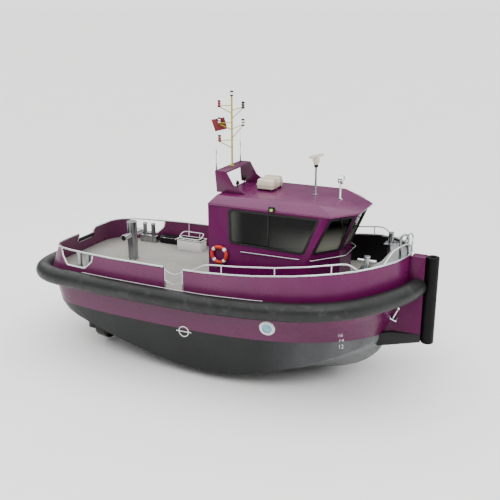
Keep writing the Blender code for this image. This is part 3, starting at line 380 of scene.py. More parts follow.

# bulwarks
# 8 mm plate on the deck edge under a tube rail. The stern part leans inboard, and is cut for mooring
# lines and for the stern roller. The forward part is black inside: painted shade of the well under the bow ledge.
DECK_EDGE = [(-5.60, 1.05), (-5.58, 1.40), (-5.49, 1.70), (-5.32, 1.91), (-5.02, 2.05), (-4.57, 2.13), (-3.8, 2.19),
             (-2.8, 2.26), (-1.4, 2.30), (-0.4, 2.31), (1.2, 2.31), (2.0, 2.30), (2.6, 2.29), (3.2, 2.265),
             (3.8, 2.20), (4.4, 2.05), (4.85, 1.82), (5.2, 1.50), (5.45, 1.18), (5.65, 0.86), (5.79, 0.52),
             (5.85, 0.26), (5.87, 0.0)]
RAIL_EDGE = [(-5.34, 1.05), (-5.32, 1.35), (-5.25, 1.60), (-5.10, 1.80), (-4.85, 1.95), (-4.45, 2.06),
             (-3.8, 2.16)] + DECK_EDGE[7:]


def along(rows, x):
    """Value of a line of (x, value) at x."""
    for (x0, a), (x1, b) in zip(rows, rows[1:]):
        if x0 <= x <= x1:
            return a + (b - a) * (x - x0) / (x1 - x0)
    return rows[0][1] if x < rows[0][0] else rows[-1][1]


# black enamel: the knee's foot and the tow post's end plugs, and painted shade on the inner faces of the forward
# bulwark
black_enamel_and_painted_shade = enamel("alkyd_enamel_black", "0B0B0C", "121213", 0.4, gloss=0.3)
# towards the stern the enamel is a paler, greyer purple, a painted reflection; towards the bow it is the deep purple
painted_sheen_aft = enamel("two_pack_enamel_purple_faded", "5C1E48", "672852", 0.3, gloss=0.34)
shader = painted_sheen_aft.node_tree.nodes["Principled BSDF"]
paler_tone = shader.inputs["Base Color"].links[0].from_socket
join(painted_sheen_aft, blend(painted_sheen_aft, ramp_along(painted_sheen_aft, "X", 0.2, 4.2), paler_tone, "5C0447"), shader.inputs["Base Color"])
for node, centre in (("bulwark_aft", -3.0), ("bulwark_forward", 2.4)):
    plate = skin(node)
    soften(plate, 0.003, 50.0, 1)
    plate.normal_update()
    # the forward plate's inner faces take the black: painted shade
    if node == "bulwark_forward":
        for f in plate.faces:
            c = f.calc_center_median()
            inward = Vector((min(c.x, 3.2) - c.x, -c.y, 0))
            if inward.length > 0 and f.normal.dot(inward.normalized()) > 0.3:
                f.material_index = 1
    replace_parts(finish(node + "_plate", plate, [painted_sheen_aft, black_enamel_and_painted_shade], angle=24.0), node)


def pipe(name, points, r, mat, body="boat", bend=0.0, closed=False, sides=14, keep=None):
    """Tube bent along a line of points; each corner is rounded over the length given."""
    line = [Vector(p) for p in points]
    if bend:
        bent = []
        for i, p in enumerate(line):
            if not closed and i in (0, len(line) - 1):
                bent.append(p)
                continue
            a, b = line[i - 1] - p, line[(i + 1) % len(line)] - p
            a, b = (v.normalized() * min(bend, v.length * 0.48) for v in (a, b))
            bent += [p + a * (1 - t) ** 2 + b * t ** 2 for t in (0.0, 0.2, 0.4, 0.6, 0.8, 1.0)]
        line = bent
    cu = bpy.data.curves.new(name, "CURVE")
    cu.dimensions, cu.bevel_depth, cu.bevel_resolution = "3D", r, max(1, sides // 4)
    cu.use_fill_caps = not closed
    spline = cu.splines.new("POLY")
    spline.points.add(len(line) - 1)
    for p, q in zip(spline.points, line):
        p.co = (*q, 1.0)
    spline.use_cyclic_u = closed
    holder = bpy.data.objects.new(name, cu)
    bpy.context.scene.collection.objects.link(holder)
    me = bpy.data.meshes.new_from_object(holder.evaluated_get(bpy.context.evaluated_depsgraph_get()))
    bpy.data.objects.remove(holder)
    bm = keep or bmesh.new()
    bm.from_mesh(me)
    bpy.data.meshes.remove(me)
    if keep:
        return bm
    return finish(name, bm, mat, body, angle=50.0, recalc=True)


def on_bulwark(x, z, s, out=0.0):
    """Point on the outer face of the stern bulwark, which leans between deck edge and rail."""
    t = (z - 1.17) / 0.73
    return (x, s * (along(DECK_EDGE, x) + (along(RAIL_EDGE, x) - along(DECK_EDGE, x)) * t + out), z)


# white-coated tube is welded round the mooring openings and the stern cut-out
OPENING = [(-4.86, 1.90), (-4.80, 1.70), (-4.58, 1.44), (-3.85, 1.44), (-3.56, 1.70), (-3.50, 1.90)]
for side, s in (("starboard", -1), ("port", 1)):
    pipe("mooring_rim_" + side, [on_bulwark(x, z, s, -0.006) for x, z in OPENING], 0.026, coated_white, bend=0.05)
U = [(-0.42, 1.90), (-0.42, 1.66), (-0.36, 1.60), (0.36, 1.60), (0.42, 1.66), (0.42, 1.90)]
pipe("stern_rim", [(-5.60 + 0.26 * (z - 1.17) / 0.73 + 0.012, y, z) for y, z in U], 0.024, coated_white, bend=0.06)

# cap rails
# 60 mm stainless tube welded along the bulwark tops, bent down at the gates and the stern cut-out.
# The forward one carries a raised rail on each side of the bow staple.
for node in ("cap_rail_aft_port", "cap_rail_aft_starboard", "cap_rail_forward"):
    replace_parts(finish(node + "_tube", skin(node), stainless, angle=60.0), node)

# round fender
# Hollow rubber fender, 0.54 m across, in one run a side from the stern round to the bow knee.
# Moulded and vulcanised black rubber, matt, scuffed pale and pitted where it has worked on quays.
FENDER_LINE = [(-5.878, 0.0, 1.11), (-5.878, 0.55, 1.11), (-5.878, 1.05, 1.11), (-5.854, 1.446, 1.11),
               (-5.738, 1.826, 1.11), (-5.486, 2.133, 1.11), (-5.098, 2.317, 1.11), (-4.602, 2.406, 1.11),
               (-3.82, 2.467, 1.11), (-2.813, 2.538, 1.11), (-1.406, 2.578, 1.11), (-0.402, 2.588, 1.11),
               (0.4, 2.588, 1.11), (1.202, 2.588, 1.15), (2.004, 2.578, 1.19), (2.608, 2.568, 1.246),
               (3.221, 2.542, 1.302), (3.849, 2.474, 1.378), (4.495, 2.311, 1.467), (5.007, 2.049, 1.549),
               (5.403, 1.69, 1.608), (5.677, 1.34, 1.645), (5.897, 0.987, 1.675), (6.054, 0.608, 1.696),
               (6.125, 0.302, 1.706), (6.135, 0.16, 1.708)]
rubber, shader = start("vulcanised_rubber_black", IOR=1.5, Specular_IOR_Level=0.34)
base = blend(rubber, speckle(rubber, 1.1, 0.0, 1.0, detail=6.0), "121313", "1E1F1F")
chalk = blend(rubber, speckle(rubber, 4.0, -1.9, 0.8, detail=10.0), base, "303231")
# near-black specks over the scuffed base: painted shade in the pits
join(rubber, blend(rubber, speckle(rubber, 22.0, -1.7, 0.9, detail=6.0), chalk, "040404"), shader.inputs["Base Color"])
join(rubber, speckle(rubber, 5.0, 0.34, 0.56, detail=6.0), shader.inputs["Roughness"])
pits = relief(rubber, shader, speckle(rubber, 22.0, 0.0, 1.0, detail=6.0, clamp=False), 0.45, 0.008)
relief(rubber, shader, speckle(rubber, 70.0, 0.0, 1.0, detail=3.0, clamp=False), 0.25, 0.003, pits)
for side, s in (("starboard", -1), ("port", 1)):
    line = [(x, s * y, z) for x, y, z in FENDER_LINE]
    line[0] = (line[0][0], s * 0.002, line[0][2])
    run = pipe("run", line, 0.268, None, bend=0.5, sides=40, keep=bmesh.new())
    bmesh.ops.remove_doubles(run, verts=run.verts, dist=1e-5)
    bmesh.ops.recalc_face_normals(run, faces=run.faces)
    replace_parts(finish("round_fender_" + side, run, rubber, angle=50.0), "fender_" + side)

# flat bar welded along the foot of the bulwark, where it meets the fender
for side, s in (("starboard", -1), ("port", 1)):
    strip = [(x, s * (along(DECK_EDGE, x) + 0.004), along([(-6, 1.300), (0.4, 1.300), (2.0, 1.378), (3.0, 1.46)], x))
             for x in [-3.95 + 0.25 * i for i in range(26)]]
    pipe("edge_strip_" + side, strip, 0.010, coated_white, sides=8)

# bow knee and its upright fender
# Box-section steel knee for pushing, in the hull's purple with a black foot, welded to the stem.
# A hollow rubber cylinder stands in front of it, held by through bolts.
knee = skin("bow_knee")
soften(knee, 0.012, 50.0)
for f in knee.faces:
    if max(v.co.z for v in f.verts) < 0.285:
        f.material_index = 1
# a darker copy of the hull's purple: painted shade on the knee
knee_paint = enamel("two_pack_enamel_purple_shaded", "43022F", "550341", 0.26, gloss=0.25)
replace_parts(finish("bow_knee_box", knee, [knee_paint, black_enamel_and_painted_shade], angle=30.0), "bow_knee")
post = bmesh.new()
turned(post, [(0.075, 0.012), (0.165, 0.0), (0.180, 0.018), (0.180, 2.582), (0.165, 2.600), (0.085, 2.594),
              (0.075, 2.575), (0.075, 0.012)], Matrix.Translation((6.4955, 0, 0)), 56)
moulded, shader = start("moulded_rubber_black_smooth", IOR=1.5, Specular_IOR_Level=0.12)
join(moulded, blend(moulded, speckle(moulded, 1.5, 0.0, 1.0, stretch=(1.0, 1.0, 0.3)), "080808", "101010"),
     shader.inputs["Base Color"])
join(moulded, speckle(moulded, 6.0, 0.38, 0.55), shader.inputs["Roughness"])
relief(moulded, shader, speckle(moulded, 30.0, 0.0, 1.0, detail=5.0, clamp=False), 0.2, 0.003)
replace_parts(finish("bow_fender_rubber", post, moulded, recalc=True), "bow_fender")

# anchor
# Small stocked anchor in bright stainless, housed against the starboard side of the knee.
anchor = bmesh.new()


def bar(bm, a, b, w, h, w2=None, h2=None, turn=0.0, bevel=0.0):
    """Square bar from a to b, which may taper."""
    a, b = Vector(a), Vector(b)
    m = (b - a).to_track_quat("Z", "Y").to_matrix().to_4x4()
    m.translation = (a + b) / 2
    verts = bmesh.ops.create_cube(bm, size=1.0)["verts"]
    top = [v for v in verts if v.co.z > 0]
    bmesh.ops.scale(bm, vec=(w, h, (b - a).length), verts=verts)
    if w2 is not None:
        bmesh.ops.scale(bm, vec=(w2 / w, (h2 or h) / h, 1.0), verts=top)
    bmesh.ops.transform(bm, matrix=m @ Matrix.Rotation(math.radians(turn), 4, "Z"), verts=verts)
    if bevel:
        edges = list({e for v in verts for e in v.link_edges})
        made = bmesh.ops.bevel(bm, geom=edges, offset=bevel, offset_type="OFFSET", affect="EDGES", segments=2,
                               profile=0.5, material=-1)
        verts = made["verts"]
    return verts


bar(anchor, (5.52, -0.215, 0.66), (5.665, -0.215, 0.985), 0.055, 0.034, 0.030, 0.024, bevel=0.004)
bar(anchor, (5.43, -0.232, 0.655), (5.63, -0.232, 0.585), 0.050, 0.050, bevel=0.010)
for a, b in (((5.455, -0.232, 0.650), (5.405, -0.246, 0.810)), ((5.605, -0.232, 0.598), (5.690, -0.246, 0.745))):
    bar(anchor, a, b, 0.120, 0.022, 0.014, 0.006, bevel=0.003)
disc(anchor, Matrix.Translation((5.668, -0.215, 0.985)) @ Matrix.Rotation(math.pi / 2, 4, "X"), 0.030, -0.014, 0.014, 20)
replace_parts(finish("stowed_anchor", anchor, stainless, recalc=True), "anchor")

# tow post
# Galvanised steel post welded through the deck, with a cross pipe capped at both ends.
# Its colour carries pale upright streaks, which are painted highlights.
galvanised, shader = start("galvanised_steel_worn", Metallic=1.0)
# grey with pale upright streaks: painted highlights
painted_highlight_streaks = speckle(galvanised, 16.0, 0.0, 1.0, detail=3.0, stretch=(1.0, 1.0, 0.06))
join(galvanised, blend(galvanised, painted_highlight_streaks, "6C6F71", "B9BCBD"), shader.inputs["Base Color"])
join(galvanised, speckle(galvanised, 22.0, 0.2, 0.42, stretch=(1.0, 1.0, 0.08)), shader.inputs["Roughness"])
relief(galvanised, shader, speckle(galvanised, 40.0, 0.0, 1.0, stretch=(1.0, 1.0, 0.1), clamp=False), 0.12, 0.002)
TOW_X, TOW_FOOT, TOW_TOP = -3.47, 1.183, 2.48
tow = bmesh.new()
turned(tow, [(0.0, 0.0), (0.197, 0.0), (0.200, 0.012), (0.165, 0.020), (0.165, 1.262), (0.172, 1.266),
             (0.172, 1.288), (0.160, TOW_TOP - TOW_FOOT), (0.0, TOW_TOP - TOW_FOOT)],
       Matrix.Translation((TOW_X, 0, TOW_FOOT)), 56)
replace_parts(finish("tow_post_steel", tow, galvanised, recalc=True), "tow_post")
side_ways = Matrix.Translation((TOW_X, 0, 2.03)) @ Matrix.Rotation(math.pi / 2, 4, "X")
cross = bmesh.new()
turned(cross, [(0.0, -0.515), (0.098, -0.515), (0.104, -0.508), (0.104, -0.496), (0.096, -0.488), (0.096, 0.488),
               (0.104, 0.496), (0.104, 0.508), (0.098, 0.515), (0.0, 0.515)], side_ways, 40)
finish("tow_post_cross_pipe", cross, stainless, recalc=True)
plugs = bmesh.new()
for z in (-0.52, 0.512):
    disc(plugs, side_ways, 0.088, z, z + 0.008, 36)
finish("tow_post_plugs", plugs, black_enamel_and_painted_shade, recalc=True)

# quarter bollards
# Twin steel bollards on a welded box base inside each mooring opening.
for side, s in (("starboard", -1), ("port", 1)):
    pair = bmesh.new()
    y = s * 1.93
    block = bmesh.ops.create_cube(pair, size=1.0)["verts"]
    bmesh.ops.scale(pair, vec=(0.67, 0.22, 0.235), verts=block)
    bmesh.ops.translate(pair, vec=(-4.025, y, 1.3018), verts=block)
    soften(pair, 0.008, 50.0)
    for x in (-4.20, -3.86):
        turned(pair, [(0.0, 1.41), (0.084, 1.41), (0.078, 1.425), (0.076, 1.820), (0.088, 1.826), (0.088, 1.848),
                      (0.076, 1.858), (0.0, 1.860)], Matrix.Translation((x, y, 0)), 40)
    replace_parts(finish("bollard_pair_" + side, pair, galvanised, recalc=True), "bollard_" + side)

# deck locker
# Low black locker of moulded plastic against the port bulwark, with a lift-off lid and a pale trim line.
moulded_black, shader = start("abs_moulded_black", IOR=1.5, Specular_IOR_Level=0.2)
join(moulded_black, blend(moulded_black, speckle(moulded_black, 5.0, 0.0, 1.0), "0C0C0D", "141415"),
     shader.inputs["Base Color"])
join(moulded_black, speckle(moulded_black, 30.0, 0.42, 0.58), shader.inputs["Roughness"])
# moulded grain is about 1 mm; it is drawn at 6 mm
relief(moulded_black, shader, speckle(moulded_black, 160.0, 0.0, 1.0, clamp=False), 0.12, 0.001)
low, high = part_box("deck_locker")


def block(bm, low, high, bevel=0.0, segments=2):
    """Box between two corners with rounded edges."""
    low, high = Vector(low), Vector(high)
    verts = bmesh.ops.create_cube(bm, size=1.0)["verts"]
    bmesh.ops.scale(bm, vec=high - low, verts=verts)
    bmesh.ops.translate(bm, vec=(low + high) / 2, verts=verts)
    if bevel:
        edges = list({e for v in verts for e in v.link_edges})
        verts = bmesh.ops.bevel(bm, geom=edges, offset=bevel, offset_type="OFFSET", affect="EDGES",
                                segments=segments, profile=0.5, material=-1)["verts"]
    return verts


locker = bmesh.new()
block(locker, low, (high[0], high[1], 1.40), 0.018)
block(locker, (low[0], low[1], 1.404), high, 0.016)
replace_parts(finish("deck_locker_box", locker, moulded_black, recalc=True), "deck_locker")
trim = bmesh.new()
block(trim, (low[0] + 0.02, low[1] + 0.004, 1.3985), (high[0] - 0.02, low[1] + 0.02, 1.4055), 0.001, 1)
for x in (-3.40, -2.94):
    block(trim, (x - 0.02, low[1] + 0.001, 1.365), (x + 0.02, low[1] + 0.012, 1.425), 0.003)
finish("deck_locker_catches", trim, coated_white, recalc=True)

# deck hatch
# Pale grey steel coaming with a black gasketed lid, hinged outboard, and a white grab loop on the lid.
pale_grey = enamel("alkyd_enamel_pale_grey", "DADAD6", "E6E6E2", 0.4)
coaming = skin("hatch_coaming")
upright = [e for e in coaming.edges if len(e.link_faces) == 2 and e.calc_face_angle_signed() > 1.0
           and abs(e.verts[0].co.z - e.verts[1].co.z) > 0.2]
bmesh.ops.bevel(coaming, geom=upright, offset=0.06, offset_type="OFFSET", affect="EDGES", segments=6, profile=0.5,
                material=-1)
soften(coaming, 0.006, 60.0, 2)
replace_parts(finish("hatch_coaming_box", coaming, pale_grey), "hatch_coaming")
low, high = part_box("hatch_lid")
LX0, LX1, LY0, LY1 = low[0], high[0], low[1], high[1]
lid = bmesh.new()
block(lid, (LX0, LY0, 1.5303), (LX1, LY1, 1.548), 0.006)
block(lid, (LX0 + 0.05, LY0 + 0.05, 1.545), (LX1 - 0.05, LY1 - 0.05, 1.560), 0.008)
for i in range(7):
    x = LX0 + 0.12 + (LX1 - LX0 - 0.24) * i / 6
    block(lid, (x - 0.012, LY0 + 0.09, 1.558), (x + 0.012, LY1 - 0.09, 1.5655), 0.003, 1)
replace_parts(finish("hatch_lid_panel", lid, moulded_black, "hatch_lid", recalc=True), "hatch_lid")
rim = bmesh.new()
for a, b in (((LX0, LY0), (LX1, LY0 + 0.03)), ((LX0, LY1 - 0.03), (LX1, LY1)), ((LX0, LY0), (LX0 + 0.03, LY1)),
             ((LX1 - 0.03, LY0), (LX1, LY1))):
    block(rim, (*a, 1.546), (*b, 1.562), 0.004)
finish("hatch_lid_rim", rim, pale_grey, "hatch_lid", recalc=True)
# the loop leans: its inboard side is just over the lid, its outboard side a hand above
X0, X1, Y0, Y1 = LX0 + 0.07, LX1 - 0.07, LY0 + 0.05, LY1 - 0.06
loop = [(X0, Y0, 1.60), (X1, Y0, 1.60), (X1, Y1, 1.735), (X0, Y1, 1.735)]
pipe("hatch_grab_loop", loop, 0.015, coated_white, "hatch_lid", bend=0.14, closed=True)
legs = bmesh.new()
for x in (X0 + 0.20, X1 - 0.20):
    for y, z in ((Y0, 1.595), (Y1, 1.73)):
        disc(legs, Matrix.Translation((x, y, 0)), 0.012, 1.555, z, 16)
        disc(legs, Matrix.Translation((x, y, 0)), 0.024, 1.555, 1.566, 16)
finish("hatch_grab_legs", legs, coated_white, "hatch_lid", recalc=True)
pole = bmesh.new()
disc(pole, Matrix.Translation((-2.50, 2.13, 0)), 0.012, 1.183, 2.01, 16)
disc(pole, Matrix.Translation((-2.50, 2.13, 0)), 0.035, 1.183, 1.195, 20)
finish("hatch_stay_pole", pole, coated_white, recalc=True)

# stern roller
# Black nylon roller on a steel pin between the cheeks of the stern cut-out.
roller = bmesh.new()
turned(roller, [(0.0, -0.415), (0.068, -0.415), (0.070, -0.40), (0.062, -0.37), (0.060, 0.37), (0.070, 0.40),
                (0.068, 0.415), (0.0, 0.415)],
       Matrix.Translation((-5.40, 0, 1.68)) @ Matrix.Rotation(math.pi / 2, 4, "X"), 36)
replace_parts(finish("stern_roller_nylon", roller, moulded_black, recalc=True), "stern_roller")

# side gates
# Each gate is two stainless posts with two short-link chains hooked between them.
LINK = 0.0335                # pitch of the chain, one link to the next
for side, s in (("starboard", -1), ("port", 1)):
    y = s * 2.2925
    gate = bmesh.new()
    for x in (-0.85, -0.26):
        turned(gate, [(0.0, 1.183), (0.030, 1.183), (0.030, 1.190), (0.016, 1.196), (0.016, 1.925), (0.010, 1.932),
                      (0.0, 1.933)], Matrix.Translation((x, y, 0)), 20)
    finish("gate_posts_" + side, gate, stainless, recalc=True)
    chain = bmesh.new()
    for z in (1.88, 1.55):
        spots = [Vector((-0.832 + 0.554 * t / 60, y, z - 0.10 * (1 - (t / 30 - 1) ** 2))) for t in range(61)]
        far = [0.0]
        for a, b in zip(spots, spots[1:]):
            far.append(far[-1] + (b - a).length)
        count = int(far[-1] / LINK) + 1
        for i in range(count):
            d = far[-1] * (i + 0.5) / count
            k = next(j for j in range(60) if far[j + 1] >= d)
            at = spots[k].lerp(spots[k + 1], (d - far[k]) / (far[k + 1] - far[k]))
            turn = (spots[k + 1] - spots[k]).to_track_quat("X", "Z").to_matrix().to_4x4()
            m = Matrix.Translation(at) @ turn @ Matrix.Rotation(math.pi / 2 * (i % 2) + 0.4, 4, "X")
            oval = bmesh.new()
            turned(oval, [(0.0145 + 0.0048 * math.cos(a), 0.0048 * math.sin(a)) for a in
                          [2 * math.pi * q / 8 for q in range(9)]], Matrix.Identity(4), 14)
            bmesh.ops.scale(oval, vec=(1.55, 1.0, 1.0), verts=oval.verts)
            bmesh.ops.transform(oval, matrix=m, verts=oval.verts)
            part = bpy.data.meshes.new("link")
            oval.to_mesh(part)
            oval.free()
            chain.from_mesh(part)
            bpy.data.meshes.remove(part)
    links = finish("gate_chain_links_" + side, chain, stainless, recalc=True)
    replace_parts(links, "gate_chains_" + side)

# guard rails
# Bent stainless hand tube above each forward bulwark, on three uprights welded to the cap rail.
RAIL = [(-6, 1.92), (-4.5, 1.94), (0, 1.96), (0.7, 1.98), (1.9, 2.08), (3.1, 2.24), (4.25, 2.42), (4.85, 2.50),
        (5.4, 2.56), (6, 2.62)]
RUN = [(0.10, 0.050), (0.34, 0.17), (0.50, 0.235), (0.68, 0.26), (1.5, 0.255), (2.65, 0.245), (3.6, 0.25),
       (4.40, 0.26), (4.56, 0.245), (4.68, 0.19), (4.84, 0.052)]


def over_rail(x, h, s):
    """Point at a height over the middle of the bulwark's plate."""
    return (x, s * (along(DECK_EDGE, x) - 0.0125), along(RAIL, x) + h)


for side, s in (("starboard", -1), ("port", 1)):
    hand = pipe("guard_rail_tube_" + side, [over_rail(x, h, s) for x, h in RUN], 0.025, stainless, bend=0.1)
    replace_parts(hand, "guard_rail_" + side)
    stands = bmesh.new()
    for x in (1.02, 2.65, 4.22):
        foot = over_rail(x, 0.028, s)
        disc(stands, Matrix.Translation((foot[0], foot[1], 0)), 0.018, foot[2], foot[2] + 0.222, 18)
    finish("guard_rail_stands_" + side, stands, stainless, recalc=True)
    bow = [(5.42, s * 1.205, 2.585), (5.52, s * 1.07, 2.80), (5.60, s * 0.93, 2.93), (5.70, s * 0.72, 2.97),
           (5.79, s * 0.46, 2.99), (5.83, s * 0.30, 2.99), (5.852, s * 0.16, 2.93), (5.855, s * 0.14, 2.62)]
    pipe("bow_hand_rail_" + side, bow, 0.026, stainless, bend=0.08)

# foredeck ledge, cross bollards and bow staple
# A grey painted shelf runs round inside the bow just under the rail. A cross bollard stands on each
# side of it, and a bent bar staple for the bow line stands on the deck ahead.
INSIDE = [(4.99, 1.68), (5.182, 1.480), (5.428, 1.163), (5.626, 0.846), (5.762, 0.51), (5.82, 0.255)]
shelf = bmesh.new()
outline = [(4.93, 1.72)] + INSIDE + [(5.84, 0.0)] + [(x, -y) for x, y in reversed(INSIDE)] + [(4.93, -1.72)]
outline += [(5.02, -1.0), (5.16, -0.5), (5.16, 0.5), (5.02, 1.0)]
sheet = shelf.faces.new([shelf.verts.new((x, y, 2.425)) for x, y in outline])
made = bmesh.ops.extrude_face_region(shelf, geom=[sheet])["geom"]
bmesh.ops.translate(shelf, vec=(0, 0, 0.012), verts=[g for g in made if isinstance(g, bmesh.types.BMVert)])
ledge_grey = enamel("alkyd_enamel_mid_grey", "7E7F7F", "8C8D8D", 0.4)
finish("bow_ledge", shelf, ledge_grey, recalc=True)
for side, s in (("starboard", -1), ("port", 1)):
    x, y = 4.96, s * 1.27
    cross = bmesh.new()
    low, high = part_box("cross_bollard_" + side)
    turned(cross, [(0.0, low[2]), (0.098, low[2]), (0.098, 2.42), (0.0, 2.42)], Matrix.Translation((x, y, 0)), 32)
    block(cross, (x - 0.18, y - 0.18, 2.4375), (x + 0.18, y + 0.18, 2.450), 0.004)
    turned(cross, [(0.0, 2.449), (0.090, 2.449), (0.082, 2.462), (0.078, 2.745), (0.090, 2.754), (0.090, 2.780),
                   (0.080, 2.790), (0.0, 2.790)], Matrix.Translation((x, y, 0)), 40)
    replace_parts(finish("cross_bollard_post_" + side, cross, galvanised, recalc=True), "cross_bollard_" + side)
    pin = bmesh.new()
    turned(pin, [(0.0, -0.26), (0.034, -0.26), (0.046, -0.252), (0.046, -0.238), (0.036, -0.232), (0.036, 0.232),
                 (0.046, 0.238), (0.046, 0.252), (0.034, 0.26), (0.0, 0.26)],
           Matrix.Translation((x, y, 2.66)) @ Matrix.Rotation(math.pi / 2, 4, "Y"), 28)
    finish("cross_bollard_pin_" + side, pin, stainless, recalc=True)
A, B = Vector((5.57, -0.075, 0)), Vector((5.76, 0.075, 0))
bend = [(0.0, 1.70), (0.0, 2.99)] + [(0.5 - 0.5 * math.cos(a), 2.99 + 0.15 * math.sin(a)) for a in
                                     [math.pi * i / 12 for i in range(1, 12)]] + [(1.0, 2.99), (1.0, 1.72)]
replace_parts(pipe("bow_staple_bar", [tuple(A.lerp(B, t).xy) + (z,) for t, z in bend], 0.036, galvanised, sides=24),
            "bow_staple")

# wheelhouse
# Welded shell of 6 mm plate in purple enamel outside and grey lining inside, on the deck house coaming.
# Its windows sit in black rubber, and stainless hand rails stand off the walls at hip height.
lining = enamel("laminate_lining_grey", "56564F", "62625B", 0.5)
shell = skin("wheelhouse")
soften(shell, 0.010, 60.0)
shell.normal_update()
for f in shell.faces:
    c = f.calc_center_median()
    inside = Vector((min(max(c.x, 0.9), 3.0) - c.x, -c.y, 0))
    if inside.length > 0 and f.normal.dot(inside.normalized()) > 0.35:
        f.material_index = 1
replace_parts(finish("wheelhouse_shell", shell, [purple, lining], angle=30.0), "wheelhouse")

# extruded rubber glazing channel: matt black, soft sheen
epdm, shader = start("epdm_rubber_extruded", IOR=1.5, Specular_IOR_Level=0.3)
join(epdm, blend(epdm, speckle(epdm, 8.0, 0.0, 1.0), "0E0F0F", "181919"), shader.inputs["Base Color"])
join(epdm, speckle(epdm, 20.0, 0.45, 0.65), shader.inputs["Roughness"])
relief(epdm, shader, speckle(epdm, 120.0, 0.0, 1.0, clamp=False), 0.08, 0.001)


def gasket(name, corners, radius, m, lip, body="boat", depth=0.018):
    """Rounded window channel: a flat outline is rounded at its corners, inset, and given its depth."""
    bm = bmesh.new()
    face = bm.faces.new([bm.verts.new((x, y, 0.0)) for x, y in corners])
    bmesh.ops.bevel(bm, geom=list(bm.verts), offset=radius, offset_type="OFFSET", affect="VERTICES", segments=8,
                    profile=0.5, material=-1)
    face = bm.faces[:][0]
    bmesh.ops.inset_region(bm, faces=[face], thickness=lip, use_boundary=True, use_even_offset=True)
    bmesh.ops.delete(bm, geom=[face], context="FACES")
    rim = bmesh.ops.extrude_face_region(bm, geom=list(bm.faces))["geom"]
    bmesh.ops.translate(bm, vec=(0, 0, depth), verts=[g for g in rim if isinstance(g, bmesh.types.BMVert)])
    bmesh.ops.recalc_face_normals(bm, faces=bm.faces)
    bmesh.ops.bevel(bm, geom=sharp_edges(bm, 60.0), offset=depth * 0.35, offset_type="OFFSET", affect="EDGES",
                    segments=2, profile=0.5, material=-1, clamp_overlap=True)
    bmesh.ops.transform(bm, matrix=m, verts=bm.verts)
    return finish(name, bm, epdm, body, recalc=True)


def facing(origin, u, v):
    """Placement with X along u and Y near v."""
    u = Vector(u).normalized()
    w = u.cross(Vector(v)).normalized()
    m = Matrix((u, w.cross(u), w)).transposed().to_4x4()
    m.translation = Vector(origin)
    return m


SILL, HEAD, LEAN = 2.59, 3.70, 0.53 / 1.155
RISE = (HEAD - SILL) * LEAN
SIDE_WINDOW = [(0.805, 2.645), (3.135, 2.580), (3.595, 3.685), (0.775, 3.685)]
for side, s in (("starboard", -1), ("port", 1)):
    outline = SIDE_WINDOW if s < 0 else [(-x, z) for x, z in reversed(SIDE_WINDOW)]
    m = facing((0, s * 1.346, 0), (-s, 0, 0), (0, 0, 1))
    gasket("side_window_channel_" + side, outline, 0.125, m, 0.062)
    a, b = Vector((3.33, s * 1.35, SILL)), Vector((3.95, s * 0.55, SILL))
    c, d = Vector((3.33 + RISE, s * 1.35, HEAD)), Vector((3.95 + RISE * 0.9, s * (0.55 + RISE * 0.13), HEAD))
    if s < 0:
        m = facing(a, b - a, c - a)
    else:
        m = facing(b, a - b, d - b)
    flip = m.inverted()
    p, q, t, u = (flip @ v for v in ((a, b, d, c) if s < 0 else (b, a, c, d)))
    corner = [(p.x + 0.055, 0.025), (q.x - 0.045, 0.025), (t.x - 0.045, t.y - 0.004), (u.x + 0.06, u.y - 0.004)]
    if s > 0:
        corner = [(p.x + 0.045, 0.025), (q.x - 0.055, 0.025), (t.x - 0.06, t.y - 0.004), (u.x + 0.045, u.y - 0.004)]
    gasket("corner_window_channel_" + side, corner, 0.095, m @ Matrix.Translation((0, 0, -0.004)), 0.062)
front = facing((3.95, 0, SILL), (0, 1, 0), (RISE * 0.9, 0, HEAD - SILL))
tall = Vector((RISE * 0.9, 0, HEAD - SILL)).length
gasket("front_window_channel", [(-0.505, 0.025), (0.505, 0.025), (0.555, tall - 0.004), (-0.555, tall - 0.004)],
       0.095, front @ Matrix.Translation((0, 0, -0.004)), 0.062)

# glazing
# Grey-tinted toughened panes bonded behind the channels; the side panes are split by a black sliding bar.
tinted, shader = start("toughened_glass_grey", IOR=1.5, Alpha=0.97, Specular_IOR_Level=0.12)
# where the painted reflection lies: low down, towards the front and along the aft edge
low_down = ramp_along(tinted, "Z", 3.45, 2.60)
forward = ramp_along(tinted, "X", 1.6, 3.3)
painted_reflection_mask = add(tinted, "Math", {0: low_down, 1: forward}, operation="MULTIPLY").outputs["Value"]
aft_edge = add(tinted, "Math", {0: ramp_along(tinted, "X", 1.25, 0.80), 1: 0.75}, operation="MULTIPLY")
painted_reflection_mask = add(tinted, "Math", {0: painted_reflection_mask, 1: aft_edge.outputs["Value"]}, operation="MAXIMUM").outputs["Value"]
# a paler grey on the panes, heavier low down and at the ends: painted reflection
painted_reflection_grey = blend(tinted, ramp_along(tinted, "X", 3.0, 3.7), "4A4B46", "85867B")
join(tinted, blend(tinted, painted_reflection_mask, blend(tinted, speckle(tinted, 1.1, 0.0, 1.0, detail=2.0), "030303", "060707"), painted_reflection_grey),
     shader.inputs["Base Color"])
join(tinted, speckle(tinted, 3.0, 0.03, 0.09), shader.inputs["Roughness"])
for node in ("glass_front", "glass_corner_port", "glass_corner_starboard", "glass_side_port", "glass_side_starboard"):
    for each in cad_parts[node].material_slots:
        each.material = tinted
for side, s in (("starboard", -1), ("port", 1)):
    slide = bmesh.new()
    block(slide, (2.015, min(s * 1.326, s * 1.346), 2.635), (2.060, max(s * 1.326, s * 1.346), 3.655), 0.004)
    finish("sliding_window_bar_" + side, slide, epdm, recalc=True)

